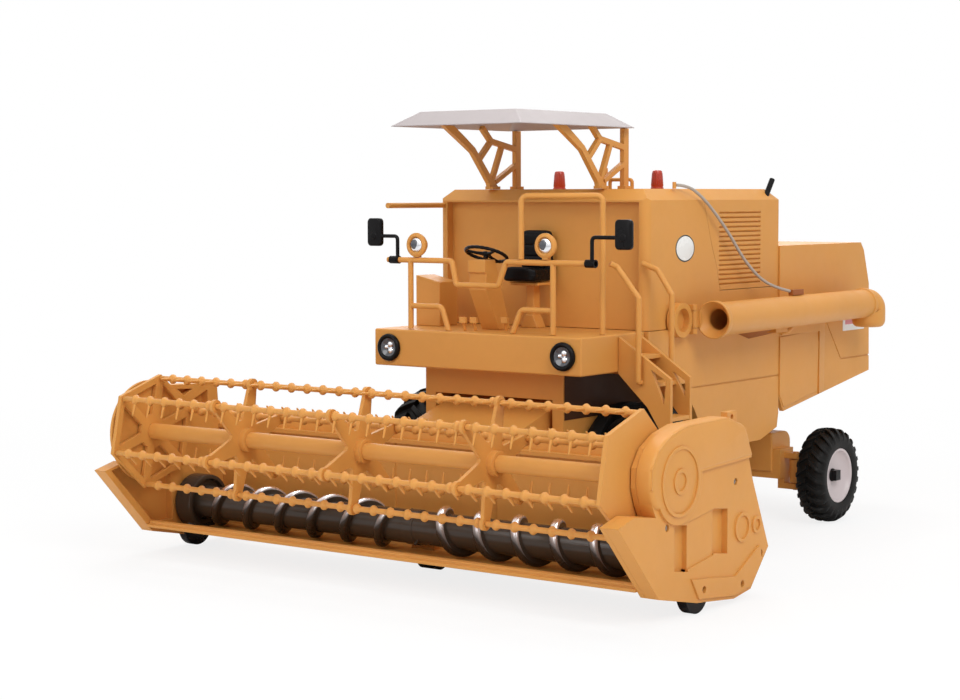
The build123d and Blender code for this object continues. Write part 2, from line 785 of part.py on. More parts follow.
def feeder_house():
    back, front = nose_y + 14, header_back_y + touch
    outer = [(front, 18), (front, 60), (back, 75), (back, 50), (-46, 44)]
    house = side_plate(outer, -feeder_half, feeder_half)
    reach = nose_half - 2.2
    house = house + disc_x(header_pivot_y, header_pivot_z, trunnion_radius, -reach, reach)
    bore = [(front - 1, 22), (front - 1, 56), (back - 5, 71), (back - 5, 53), (-46, 48)]
    return house - side_plate(bore, -feeder_half + 2, feeder_half - 2)


def shaft_bores(x0, x1):
    auger = disc_x(auger_y, auger_z, auger_shaft_radius + running_gap, x0, x1)
    reel = disc_x(reel_y, reel_z, reel_shaft_radius + running_gap, x0, x1)
    return auger, reel


def bearing_arm(x0, x1):
    return strut_x((reel_y, reel_z), (-108, reel_z), 9, x0, x1) + disc_x(reel_y, reel_z, 4.5, x0, x1)


def left_end_panel():
    x1 = header_inner + wall
    panel = side_plate(near_outline, header_inner, x1) + bearing_arm(header_inner, x1)
    return without(panel, shaft_bores(header_inner - 1, x1 + 1))


# cover of the header's drive: sunk fields with their depths, and the belt guard, as (y, z) outlines
cover_pockets = (
    (2.8, [(-113.2, 38.8), (-102.8, 37.4), (-102.8, 18.6), (-113.2, 20.3)]),
    (0.6, [(-102.8, 38.6), (-83.0, 41.4), (-83.0, 22.6), (-102.8, 19.6)]),
    (2.8, [(-83.0, 41.7), (-71.6, 40.3), (-71.6, 21.7), (-83.0, 23.3)]),
)
guard_outline = near_outline[4:8] + [(-105, 77.6), (-73.6, 78), (-58.7, 72.5), (-53.8, 59.8), (-100, 58), (-122, 46)]
cover_screws = ((-68.7, 74.2), (-65.1, 50.7), (-118.6, 38.4), (-91.2, 9.8), (-60.2, 7.4), (-43.2, 17.8))
cover_rings = (
    (-111, 56, 14.2, 12.8),
    (-111, 56, 5.2, 3.6),
    (-59.8, 31.1, 6.2, 4.9),
    (-47.9, 30.7, 3.6, 2.4),
)


def drive_cover():
    face_x = header_half - relief - 1.2
    guard_x = header_half - relief
    cover = side_plate(near_outline, cover_x, face_x) + bearing_arm(cover_x, face_x)
    for depth, outline in cover_pockets:
        cover = cover - side_plate(outline, face_x - depth, face_x + 1)
    guard = side_plate(guard_outline, face_x - 0.5, guard_x) + disc_x(-111, 56, 17.3, face_x - 0.5, guard_x)
    cover = cover + guard
    for y, z, outer, inner in cover_rings:
        top = header_half if z > 50 else face_x + relief
        cover = cover + (disc_x(y, z, outer, face_x - 0.5, top) - disc_x(y, z, inner, face_x - 1, top + 1))
    band = [(-101, 15.4), (-66, 11.4), (-46, 21.6), (-42.5, 16), (-54, 5.2), (-66, 3.4), (-95, 6.4)]
    cover = cover + side_plate(band, face_x - 0.5, face_x + relief)
    lug = block(cover_x, cover_x + 3, -67, -59, 72, 79.4) - disc_x(-63, 77.2, 1.1, cover_x - 1, cover_x + 5)
    cover = cover + lug
    for y, z in cover_screws:
        cover = cover - disc_x(y, z, 1.5, face_x - 1.2, header_half + 1)
    pocket = block(cover_x - 1, header_half - 3.4, roller_y - 10.5, roller_y + 10.5, -1, 19.5)
    return cover - pocket + disc_x(roller_y, roller_radius, roller_pin_radius, cover_x, face_x)


# triangular pockets between the ribs on the inside of the far wall
far_pockets = (
    [(-107.0, 76.9), (-96.6, 76.2), (-102.4, 73.4)],
    [(-116.2, 77.0), (-109.6, 75.6), (-106.2, 71.4), (-116.4, 69.4)],
    [(-95.4, 71.4), (-86.4, 75.2), (-86.4, 67.6), (-96.4, 67.6)],
    [(-149.8, 42.2), (-142.2, 44.0), (-128.5, 42.0), (-112, 36), (-111, 14.8), (-123.8, 15.2)],
)


def right_end_panel():
    outer_x = -header_half
    panel = side_plate(far_outline, outer_x, far_inner)
    panel = panel + bearing_arm(outer_x + 2, far_inner)
    for outline in far_pockets:
        panel = panel - side_plate(outline, outer_x + 3, far_inner + 1)
    pocket = block(outer_x + 1.2, far_inner + 1, roller_y - 10.5, roller_y + 10.5, -1, 19.5)
    panel = without(panel - pocket, shaft_bores(outer_x + 1, far_inner + 1))
    return panel + disc_x(roller_y, roller_radius, roller_pin_radius, outer_x, far_inner - 0.4)


def knife_bar():
    x0, x1 = far_inner + touch, header_inner - touch
    lower = block(x0, x1, knife_y - 3, knife_y + 3.15, knife_z, knife_z + 1.4)
    upper = block(x0, x1, knife_y - 1.4, knife_y + 2.4, knife_z + 1.4, knife_z + 2.8)
    return lower + upper


def reel_point(index, radius=reel_circle):
    angle = math.radians(reel_first_angle + index * 360 / reel_bars)
    return reel_y - radius * math.cos(angle), reel_z + radius * math.sin(angle)


def reel_turned(piece, steps):
    turn = -360 * steps / reel_bars
    return Pos(0, reel_y, reel_z) * Rot(turn, 0, 0) * Pos(0, -reel_y, -reel_z) * piece


frame_near_x = header_inner - 0.5 - reel_frame_thickness
frame_far_x = far_inner + 2.4


def reel_tube():
    x0, x1 = frame_far_x + reel_frame_thickness + touch, frame_near_x - touch
    tube = disc_x(reel_y, reel_z, reel_tube_radius, x0, x1)
    shaft = disc_x(reel_y, reel_z, reel_shaft_radius, -header_half + 1.4, header_inner + wall - 0.2)
    flange = disc_x(reel_y, reel_z, reel_circle - 1.2, far_inner + 0.4, far_inner + 1.6)
    return joined([tube, shaft, flange])


def reel_spiders():
    thickness, flange, root_half, tip_half, eye = 1.8, 3.0, 5.0, 2.1, 2.9
    spiders = []
    for x in (-76, -8.0, 63):
        parts = [disc_x(reel_y, reel_z, spider_hub_radius, x, x + thickness)]
        parts.append(disc_x(reel_y, reel_z, reel_tube_radius + 1.6, x, x + thickness + flange))
        for index in range(reel_bars):
            y, z = reel_point(index)
            ny, nz = -(z - reel_z) / reel_circle, (y - reel_y) / reel_circle
            arm = [
                (reel_y + root_half * ny, reel_z + root_half * nz),
                (y + tip_half * ny, z + tip_half * nz),
                (y - tip_half * ny, z - tip_half * nz),
                (reel_y - root_half * ny, reel_z - root_half * nz),
            ]
            parts += [side_plate(arm, x, x + thickness), disc_x(y, z, eye, x, x + thickness)]
        holes = [disc_x(reel_y, reel_z, reel_tube_radius + touch, x - 1, x + 9)]
        for index in range(reel_bars):
            holes.append(disc_x(*reel_point(index), reel_bar_radius + touch, x - 1, x + 9))
        spiders.append(without(joined(parts), holes))
    return Compound(children=spiders)


def reel_end_frames():
    corner_radius, hub, rim_width, spoke_half = 26.8, 8, 3.4, 2.2
    corners = [reel_point(index, corner_radius) for index in range(reel_bars)]
    frames = []
    for x, open_work in ((frame_near_x, False), (frame_far_x, True)):
        x1 = x + reel_frame_thickness
        frame = side_plate(corners, x, x1)
        if open_work:
            inner = [reel_point(index, corner_radius - rim_width) for index in range(reel_bars)]
            window = side_plate(inner, x - 1, x1 + 1) - disc_x(reel_y, reel_z, hub, x - 1, x1 + 1)
            for index in range(reel_bars):
                corner = reel_point(index, corner_radius)
                window = window - strut_x((reel_y, reel_z), corner, 2 * spoke_half, x - 2, x1 + 2)
            frame = frame - window
        frames.append(frame - disc_x(reel_y, reel_z, reel_shaft_radius + touch, x - 1, x1 + 1))
    return Compound(children=frames)


# one bar with its row of tines, then the same round the reel
def reel_tine_bars():
    y, z = reel_point(0)
    angle, lean = math.radians(reel_first_angle), math.radians(tine_lean)
    along = (-math.sin(angle), -math.cos(angle))
    inward = (math.cos(angle), -math.sin(angle))
    aim = [math.cos(lean) * a + math.sin(lean) * i for a, i in zip(along, inward)]
    tip = (y + aim[0] * tine_length, z + aim[1] * tine_length)
    x0, x1 = frame_far_x + reel_frame_thickness + touch, frame_near_x - touch
    profile, tines = [(x0, 0), (x0, reel_bar_radius)], []
    for index in range(tine_count):
        x = tine_first_x + index * tine_pitch
        tines.append(strut_x((y, z), tip, tine_width, x - tine_width / 2, x + tine_width / 2))
        profile.append((x - bead_width / 2, reel_bar_radius))
        profile.append((x - bead_width / 6, bead_radius))
        profile.append((x + bead_width / 6, bead_radius))
        profile.append((x + bead_width / 2, reel_bar_radius))
    bar = turned_x(profile + [(x1, reel_bar_radius), (x1, 0)], y, z) + tines
    return Compound(children=[reel_turned(bar, index) for index in range(reel_bars)])


def header_auger():
    tube = disc_x(auger_y, auger_z, auger_tube_radius, auger_drum_end_x, header_inner - 0.6)
    shaft = disc_x(auger_y, auger_z, auger_shaft_radius, -header_half + 1.4, header_inner + wall - 0.2)
    drum = disc_x(auger_y, auger_z, auger_drum_radius, far_inner + 0.6, auger_drum_end_x)
    return joined([tube, shaft, drum])


# a helical flight on each half, of opposite hand, that draws the crop to the middle
def auger_flights():
    inner = auger_tube_radius + touch
    height = -auger_drum_end_x - auger_gap_half - auger_flight_thickness
    path = Helix(auger_pitch, height, (inner + auger_radius) / 2)
    section = Plane(origin=path @ 0, z_dir=path % 0, x_dir=(1, 0, 0))
    flight = sweep(section * Rectangle(auger_radius - inner, auger_flight_thickness), path, is_frenet=True)
    along_x = Plane(origin=(auger_gap_half, auger_y, auger_z), x_dir=(0, 0, 1), z_dir=(1, 0, 0))
    return both_sides(along_x * flight)


def roller(x, y, z, radius, width):
    wheel = disc_x(y, z, radius, x - width / 2, x + width / 2)
    return wheel - disc_x(y, z, roller_pin_radius + running_gap, x - width / 2 - 1, x + width / 2 + 1)


os.makedirs("parts", exist_ok=True)
write(lower_body(), "lower_body")
write(straw_hood(), "straw_hood")
write(grain_tank(), "grain_tank")
write(engine_cover(), "engine_cover")
write(platform(), "operator_platform")
write(front_rail(), "front_rail")
write(entry_hoop(), "entry_hoop")
write(ladder_rails(), "ladder_rails")
write(ladder(), "ladder")
write(canopy(), "canopy")
write(canopy_brackets(), "canopy_brackets")
write(beacons(), "beacons")
write(exhaust_stub(), "exhaust_stub")
write(roof_fittings(), "roof_fittings")
write(side_bar(), "side_bar")
write(seat(), "seat")
write(seat_pedestal(), "seat_pedestal")
write(steering_column(), "steering_column")
write(steering_wheel(), "steering_wheel")
write(control_console(), "control_console")
write(pedals(), "pedals")
write(headlights(), "headlights")
write(work_lamps(), "work_lamps")
write(mirrors(), "mirrors")
write(tank_outlet(), "tank_outlet")
write(unloading_tube(), "unloading_tube")
write(tube_hinge(), "tube_hinge")
write(tube_rest(), "tube_rest")
write(cord_clip(), "cord_clip")
write(cord_hook(), "cord_hook")
write(pull_cord(), "pull_cord")
write(front_axle(), "front_axle")
write(rear_axle_beam(), "rear_axle_beam")
write(tie_rod(), "tie_rod")
front = (front_wheel_outer_x, front_wheel_width)
rear = (rear_wheel_outer_x, rear_wheel_width)
wheels = (
    (tyre(*front, front_wheel_radius, front_rim_radius, 0, front_wheel_radius), "front_tyre"),
    (rim(*front, front_rim_radius, 0, front_wheel_radius, axle_radius), "front_rim"),
    (tyre(*rear, rear_wheel_radius, rear_rim_radius, rear_axle_y, rear_axle_z), "rear_tyre"),
    (rim(*rear, rear_rim_radius, rear_axle_y, rear_axle_z, axle_radius), "rear_rim"),
)
for piece, name in wheels:
    write(piece, f"{name}_left")
    write(mirror(piece, Plane.YZ), f"{name}_right")
write(knuckle(1), "knuckle_left")
write(knuckle(-1), "knuckle_right")
write(header_trough(), "header_trough")
write(feeder_house(), "feeder_house")
write(left_end_panel(), "left_end_panel")
write(drive_cover(), "drive_cover")
write(right_end_panel(), "right_end_panel")
write(knife_bar(), "knife_bar")
end_roller = (roller_y, roller_radius, roller_radius, roller_width)
write(roller(roller_x, *end_roller), "header_roller_left")
write(roller(far_roller_x, *end_roller), "header_roller_right")
middle = (middle_roller_x, middle_roller_y, middle_roller_z, middle_roller_radius, middle_roller_width)
write(roller(*middle), "header_roller_middle")
write(reel_tube(), "reel_tube")
write(reel_spiders(), "reel_spiders")
write(reel_end_frames(), "reel_end_frames")
write(reel_tine_bars(), "reel_tine_bars")
write(header_auger(), "header_auger")
write(auger_flights(), "auger_flights")
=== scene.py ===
import json
from math import copysign, cos, pi, radians, sin, tan
import bmesh
import bpy
from mathutils import Euler, Matrix, Vector


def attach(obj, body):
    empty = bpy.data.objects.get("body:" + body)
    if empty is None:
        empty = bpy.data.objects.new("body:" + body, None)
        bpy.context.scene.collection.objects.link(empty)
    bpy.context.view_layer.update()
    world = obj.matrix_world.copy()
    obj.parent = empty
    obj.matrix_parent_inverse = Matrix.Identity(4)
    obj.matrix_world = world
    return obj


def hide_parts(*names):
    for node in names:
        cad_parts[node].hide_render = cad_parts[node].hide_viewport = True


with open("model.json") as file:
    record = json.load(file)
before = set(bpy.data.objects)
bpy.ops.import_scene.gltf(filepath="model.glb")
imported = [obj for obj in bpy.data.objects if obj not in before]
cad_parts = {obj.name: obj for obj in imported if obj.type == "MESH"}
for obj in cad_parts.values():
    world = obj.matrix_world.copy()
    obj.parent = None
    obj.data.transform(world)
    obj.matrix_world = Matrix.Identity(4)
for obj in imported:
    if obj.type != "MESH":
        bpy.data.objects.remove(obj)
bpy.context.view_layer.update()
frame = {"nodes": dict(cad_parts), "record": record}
nodes = frame["nodes"]
scene = bpy.context.scene
print("frame loaded:", len(nodes), "nodes")

# Places below are in millimetres: x to the machine's left, y back from the front axle, z up from the floor.
axleShift = -35.0      # the frame's middle lies this far behind the front axle
hands = {"left": 1, "right": -1}


def spot(x, y, z):
    return Vector((x, y + axleShift, z)) / 1000


def addObject(name, data):
    made = bpy.data.objects.new(name, data)
    bpy.context.collection.objects.link(made)
    return made


cameraSet = {
    "place": (0.55976, -0.83131, 0.16811),      # metres, in the frame
    "turn": 0.64348,      # about the vertical, radians
    "tilt": 0.07499,      # downwards
    "roll": -0.00233,
    "lens": 76.53,
    "film": 36,
    "nearest": 0.02,
    "farthest": 20,
}


def placeCamera(spec):
    camera = addObject("camera", bpy.data.cameras.new("camera"))
    camera.data.lens = spec["lens"]
    camera.data.sensor_width = spec["film"]
    camera.data.clip_start = spec["nearest"]
    camera.data.clip_end = spec["farthest"]
    aim = Euler((pi / 2 - spec["tilt"], 0, spec["turn"])).to_matrix()
    aim = aim @ Matrix.Rotation(spec["roll"], 3, "Z")
    camera.matrix_world = Matrix.Translation(spec["place"]) @ aim.to_4x4()
    scene.camera = camera


placeCamera(cameraSet)
print("camera placed")


# material tools
def node(tree, kind, **inputs):
    made = tree.nodes.new("ShaderNode" + kind)
    for name, value in inputs.items():
        made.inputs[name.replace("_", " ")].default_value = value
    return made


def emptyTree(owner, kind):
    owner.use_nodes = True
    owner.node_tree.nodes.clear()
    return owner.node_tree, node(owner.node_tree, kind)


def mathNode(tree, kind, operation, *values):
    made = node(tree, kind)
    made.operation = operation
    for socket, value in zip(made.inputs, values):
        tree.links.new(value, socket)
    return made.outputs["Value"]


def shade(color, factor):
    return (color[0] * factor, color[1] * factor, color[2] * factor, 1)


def mixColor(tree, factor, first, second):
    mix = node(tree, "Mix")
    mix.data_type = "RGBA"
    colors = [socket for socket in mix.inputs if socket.type == "RGBA"]
    for socket, value in zip((mix.inputs["Factor"], *colors), (factor, first, second)):
        if hasattr(value, "links"):
            tree.links.new(value, socket)
        else:
            socket.default_value = value
    return next(socket for socket in mix.outputs if socket.type == "RGBA")


def ramp(tree, value, low, high, lowOut=0.0, highOut=1.0):
    spread = node(tree, "MapRange", From_Min=low, From_Max=high, To_Min=lowOut, To_Max=highOut)
    tree.links.new(value, spread.inputs["Value"])
    return spread.outputs["Result"]


def noise(tree, place, scale, detail, rough=0.6):
    made = node(tree, "TexNoise", Scale=scale, Detail=detail, Roughness=rough)
    tree.links.new(place, made.inputs["Vector"])
    return made.outputs["Fac"]


# noise scale, detail, roughness, and the span of the noise that is spread from none to full
unevenSets = {
    "tone": (14, 3, 0.6, 0.35, 0.65),
    "grime": (55, 6, 0.7, 0.5, 0.72),
    "wear": (120, 4, 0.6, 0.35, 0.6),
    "gloss": (90, 5, 0.6, 0.3, 0.7),
}


def uneven(tree, place, kind, lowOut=0.0, highOut=1.0):
    scale, detail, rough, low, high = unevenSets[kind]
    return ramp(tree, noise(tree, place, scale, detail, rough), low, high, lowOut, highOut)


# what a finish has where it says nothing else
usual = {
    "mottle": 0.15, "grime": 0.10, "grimeShade": 0.5,
    "wear": 0.4, "leastWear": 0.2, "worn": (0.9, 0.9, 0.9),
    "edge": 0.0003,      # metres
    "edgeSamples": 4, "edgeSpan": (0.97, 0.75),      # the two normals' agreement, from no wear to full
    "smoother": 0.05, "rougher": 0.07, "specular": 0.5, "metal": 0.0,
    "bump": 0.10, "bumpScale": 260, "bumpDetail": 3, "bumpHeight": 0.0003,
    "glowReach": (1.0, 0.45, 0.15), "glowDepth": 0.0012,
}


# how much an edge stands out: the rounded normal against the flat one
def edgeMask(tree, spec):
    rounded = node(tree, "Bevel", Radius=spec["edge"])
    rounded.samples = spec["edgeSamples"]
    flat = node(tree, "NewGeometry").outputs["Normal"]
    agree = mathNode(tree, "VectorMath", "DOT_PRODUCT", rounded.outputs["Normal"], flat)
    return rounded.outputs["Normal"], ramp(tree, agree, *spec["edgeSpan"])


def plastic(name, own):
    spec = {**usual, **own}
    material = bpy.data.materials.new(name)
    tree, out = emptyTree(material, "OutputMaterial")
    shader = node(tree, "BsdfPrincipled")
    place = node(tree, "TexCoord").outputs["Object"]
    color, mottle, wear, rough = spec["color"], spec["mottle"], spec["wear"], spec["rough"]
    broad = uneven(tree, place, "tone")
    tone = mixColor(tree, broad, shade(color, 1 - mottle), shade(color, 1 + mottle))
    grime = uneven(tree, place, "grime", 0.0, spec["grime"])
    tone = mixColor(tree, grime, tone, shade(color, spec["grimeShade"]))
    softNormal, edges = edgeMask(tree, spec)
    patchy = uneven(tree, place, "wear", spec["leastWear"] * wear, wear)
    worn = mathNode(tree, "Math", "MULTIPLY", edges, patchy)
    tone = mixColor(tree, worn, tone, (*spec["worn"], 1))
    gloss = uneven(tree, place, "gloss", rough - spec["smoother"], rough + spec["rougher"])
    tree.links.new(gloss, shader.inputs["Roughness"])
    shader.inputs["Metallic"].default_value = spec["metal"]
    if "paintedTopHighlight" in spec:      # painted highlight: silver metal where the surface faces up, lighter on top as if lit from above
        upward = node(tree, "SeparateXYZ")
        tree.links.new(node(tree, "NewGeometry").outputs["Normal"], upward.inputs[0])
        paintedTopHighlightMask = ramp(tree, upward.outputs["Z"], *spec["paintedTopHighlightSpan"])
        tone = mixColor(tree, paintedTopHighlightMask, tone, (*spec["paintedTopHighlight"], 1))
        tree.links.new(paintedTopHighlightMask, shader.inputs["Metallic"])
    shader.inputs["Specular IOR Level"].default_value = spec["specular"]
    if "glow" in spec:      # light carried a little way inside the plastic
        shader.inputs["Subsurface Weight"].default_value = spec["glow"]
        shader.inputs["Subsurface Radius"].default_value = spec["glowReach"]
        shader.inputs["Subsurface Scale"].default_value = spec["glowDepth"]
    bump = node(tree, "Bump", Strength=spec["bump"], Distance=spec["bumpHeight"])
    tree.links.new(noise(tree, place, spec["bumpScale"], spec["bumpDetail"]), bump.inputs["Height"])
    tree.links.new(softNormal, bump.inputs["Normal"])
    tree.links.new(bump.outputs["Normal"], shader.inputs["Normal"])
    tree.links.new(tone, shader.inputs["Base Color"])
    tree.links.new(shader.outputs["BSDF"], out.inputs["Surface"])
    return material


paper = {"wear": 0.0, "bump": 0.03, "bumpScale": 200, "edge": 0.0001}      # what the stickers share
finishes = {
    "ochre": {"color": (0.69, 0.315, 0.072), "worn": (0.84, 0.46, 0.14), "mottle": 0.035, "grime": 0.08,
              "wear": 0.35, "rough": 0.45, "bumpScale": 300, "edge": 0.0004, "glow": 0.1, "specular": 0.3},
    "canopyGrey": {"color": (0.455, 0.402, 0.40), "worn": (0.80, 0.76, 0.79), "mottle": 0.03, "wear": 0.5,
                   "rough": 0.42, "edge": 0.0006},
    "blackPlastic": {"color": (0.006, 0.0055, 0.006), "worn": (0.035, 0.032, 0.035), "mottle": 0.2,
                     "rough": 0.28, "bump": 0.12, "bumpScale": 320, "specular": 0.12},
    "augerBrown": {"color": (0.060, 0.045, 0.033), "worn": (0.11, 0.09, 0.08), "grime": 0.2, "rough": 0.2,
                   "bump": 0.06, "bumpScale": 240, "specular": 0.3},
    # the flights' rims: a painted highlight in silver on their up-facing parts, dark brown below
    "flightSheen": {"color": (0.040, 0.028, 0.020), "worn": (0.16, 0.14, 0.14), "grime": 0.3, "wear": 0.2,
                    "rough": 0.24, "bump": 0.06, "bumpScale": 240, "specular": 0.3,
                    "paintedTopHighlight": (0.90, 0.86, 0.86), "paintedTopHighlightSpan": (0.05, 0.75)},
    "tyreVinyl": {"color": (0.0075, 0.007, 0.0065), "worn": (0.028, 0.027, 0.027), "mottle": 0.2,
                  "grime": 0.2, "rough": 0.5, "bump": 0.25, "bumpScale": 340, "specular": 0.12},
    "rimPale": {"color": (0.60, 0.525, 0.53), "worn": (0.78, 0.73, 0.75), "mottle": 0.04, "grime": 0.12,
                "rough": 0.36},
    "beaconRed": {"color": (0.46, 0.040, 0.015), "worn": (0.75, 0.16, 0.07), "mottle": 0.10, "grime": 0.05,
                  "rough": 0.24, "bump": 0.06, "glow": 0.3},
    "lampChrome": {"color": (0.80, 0.81, 0.84), "mottle": 0.04, "wear": 0.0, "rough": 0.14, "bump": 0.03,
                   "edge": 0.0002, "metal": 1.0},
    "bulbGrey": {"color": (0.055, 0.06, 0.075), "worn": (0.35, 0.36, 0.4), "wear": 0.6, "rough": 0.12,
                 "bump": 0.03, "edge": 0.0002, "specular": 0.9},
    "cordGrey": {"color": (0.40, 0.345, 0.295), "mottle": 0.06, "grime": 0.25, "wear": 0.0, "rough": 0.45,
                 "bump": 0.2, "bumpScale": 700, "edge": 0.0002},
    # umber: the cord clip's own dark red-brown, and painted shadow on the tube rest's gusset
    "umberAndPaintedShadow": {"color": (0.30, 0.088, 0.018), "worn": (0.4, 0.18, 0.07), "mottle": 0.12, "grime": 0.2,
              "wear": 0.2, "rough": 0.42, "bumpScale": 280, "specular": 0.2},
    # painted shade: the dark brown of the sheets on the nose's sides
    "paintedShadeBrown": {"color": (0.060, 0.026, 0.012), "worn": (0.16, 0.08, 0.04), "mottle": 0.2, "grime": 0.3,
                  "wear": 0.1, "rough": 0.5, "bumpScale": 280, "specular": 0.15},
    "stickerWhite": {**paper, "color": (0.86, 0.86, 0.83), "mottle": 0.02, "grime": 0.04, "rough": 0.25},
    "stickerEdge": {**paper, "color": (0.10, 0.12, 0.11), "mottle": 0.1, "rough": 0.3},
    "stickerPink": {**paper, "color": (0.66, 0.22, 0.24), "mottle": 0.05, "grime": 0.05, "rough": 0.3},
    "screwSteel": {"color": (0.36, 0.31, 0.26), "worn": (0.7, 0.66, 0.6), "grime": 0.4, "wear": 0.6,
                   "rough": 0.34, "bumpScale": 400, "edge": 0.0002, "metal": 0.9},
}
finish = {name: plastic(name, spec) for name, spec in finishes.items()}

slotFinish = {
    "ochre_plastic": "ochre",
    "canopy_plastic": "canopyGrey",
    "black_plastic": "blackPlastic",
    "dark_auger_plastic": "augerBrown",
    "tyre_rubber": "tyreVinyl",
    "rim_plastic": "rimPale",
    "red_plastic": "beaconRed",
    "lamp_chrome": "lampChrome",
    "cord_vinyl": "cordGrey",
}
# the slot that goes with each finish
finishSlot = {ink: slot for slot, ink in slotFinish.items()}
finishSlot |= {"bulbGrey": "lamp_chrome", "paintedShadeBrown": "ochre_plastic", "screwSteel": "dark_auger_plastic",
               "stickerWhite": "canopy_plastic"}
nodeFinish = {"cord_clip": "umberAndPaintedShadow"}      # nodes whose colour isn't their slot's
for part in frame["record"]["subparts"]:
    held = nodes[part["node"]]
    held.data.materials.clear()
    held.data.materials.append(finish[nodeFinish.get(part["node"], slotFinish[part["material_slot"]])])
print("materials set")

# moulded edges of the carried-over pieces: how far each is rounded, in millimetres
edgeRounds = {
    0.9: ["operator_platform", "straw_hood"],
    0.7: ["canopy", "left_end_panel"],
    0.35: ["control_console", "steering_column", "knife_bar", "seat_pedestal", "tube_rest", "front_axle",
           "cord_clip", "pedals"],
}
edgeTools = {
    "segments": 3, "leastAngle": 38, "flatWithin": 0.6,      # degrees
    "weldWithin": 0.000004, "joinWithin": 0.000002,      # metres, for carried-over and for new pieces
}


def softenEdges(piece, width, angle):
    soft = piece.modifiers.new("softEdge", "BEVEL")
    soft.width = width / 1000
    soft.segments = edgeTools["segments"]
    soft.limit_method = "ANGLE"
    soft.angle_limit = radians(angle)
    soft.harden_normals = True
    return soft


def roundEdges(piece, width):
    weld = piece.modifiers.new("weld", "WELD")
    weld.merge_threshold = edgeTools["weldWithin"]
    flat = piece.modifiers.new("flatFaces", "DECIMATE")
    flat.decimate_type = "DISSOLVE"
    flat.angle_limit = radians(edgeTools["flatWithin"])
    softenEdges(piece, width, edgeTools["leastAngle"]).miter_outer = "MITER_ARC"


for width, names in edgeRounds.items():
    for name in names:
        roundEdges(nodes[name], width)
print("edges rounded")


# mesh tools: a shell gathers rings of points before it becomes a piece
def newShell():
    return {"points": [], "faces": [], "inks": []}


def addRings(shell, rings, ink=0, loop=False, caps=True):
    start, count = len(shell["points"]), len(rings[0])
    for ring in rings:
        shell["points"] += ring
    last = len(rings) if loop else len(rings) - 1
    for r in range(last):
        for i in range(count):
            j, s = (i + 1) % count, (r + 1) % len(rings)
            a, b = start + r * count, start + s * count
            shell["faces"].append((a + i, a + j, b + j, b + i))
            shell["inks"].append(ink)
    if caps and not loop:
        shell["faces"].append(tuple(start + i for i in reversed(range(count))))
        shell["faces"].append(tuple(start + last * count + i for i in range(count)))
        shell["inks"] += [ink, ink]


nearlyUpright = 0.9


# the direction itself and two more square to it
def sideways(along):
    along = Vector(along).normalized()
    up = Vector((0, 0, 1)) if abs(along.z) < nearlyUpright else Vector((1, 0, 0))
    first = along.cross(up).normalized()
    return along, first, along.cross(first).normalized()


def circleRing(centre, first, second, radius, steps):
    ring = []
    for i in range(steps):
        angle = 2 * pi * i / steps
        ring.append(centre + (first * cos(angle) + second * sin(angle)) * radius)
    return ring


# a form turned about an axis, from (along, radius) points
def addTurned(shell, profile, centre, axis, steps=32, loop=False):
    along, first, second = sideways(axis)
    rings = [circleRing(Vector(centre) + along * reach, first, second, radius, steps)
             for reach, radius in profile]
    addRings(shell, rings, loop=loop)


# a round bar along a route; radii is one number or one for each point
def addBar(shell, route, radii, steps=12, loop=False):
    route = [Vector(p) for p in route]
    if not isinstance(radii, (list, tuple)):
        radii = [radii] * len(route)
    first, rings, count = None, [], len(route)
    for i, point in enumerate(route):
        before = route[i - 1] if i or loop else point
        after = route[(i + 1) % count] if i < count - 1 or loop else point
        along = (after - before).normalized()
        first = sideways(along)[1] if first is None else (first - along * first.dot(along)).normalized()
        rings.append(circleRing(point, first, along.cross(first), radii[i], steps))
    addRings(shell, rings, loop=loop)


def addBlock(shell, low, high, ink=0):
    (x0, y0, z0), (x1, y1, z1) = low, high
    outline = [(x0, y0), (x1, y0), (x1, y1), (x0, y1)]
    addRings(shell, [[Vector((x, y, z)) for x, y in outline] for z in (z0, z1)], ink)


mostOfLeg = 0.49      # a bend takes no more of the way to the next corner


# a bend through corner points, each corner rounded with the same radius
def bentRoute(corners, bend, steps=6):
    corners = [Vector(c) for c in corners]
    route = [corners[0]]
    for before, corner, after in zip(corners, corners[1:], corners[2:]):
        inward, outward = (before - corner).normalized(), (after - corner).normalized()
        half = inward.angle(outward) / 2
        leg = min((before - corner).length, (after - corner).length)
        reach = min(bend / tan(half), leg * mostOfLeg)
        start, end = corner + inward * reach, corner + outward * reach
        for i in range(steps + 1):
            t = i / steps
            route.append(start * (1 - t) ** 2 + corner * 2 * t * (1 - t) + end * t ** 2)
    return route + [corners[-1]]


def makePiece(name, shell, inks, stands=(), body="chassis", edge=0.0, smooth=40):
    mesh = bpy.data.meshes.new(name)
    mesh.from_pydata([spot(*point) for point in shell["points"]], [], shell["faces"])
    for ink in inks:
        mesh.materials.append(finish[ink])
    mesh.polygons.foreach_set("material_index", shell["inks"])
    work = bmesh.new()
    work.from_mesh(mesh)
    bmesh.ops.remove_doubles(work, verts=work.verts, dist=edgeTools["joinWithin"])
    bmesh.ops.recalc_face_normals(work, faces=work.faces)
    work.to_mesh(mesh)
    work.free()
    mesh.polygons.foreach_set("use_smooth", [True] * len(mesh.polygons))
    mesh.set_sharp_from_angle(angle=radians(smooth))
    piece = addObject(name, mesh)
    if edge:
        softenEdges(piece, edge, smooth)
    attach(piece, body)
    if stands:
        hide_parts(*stands)


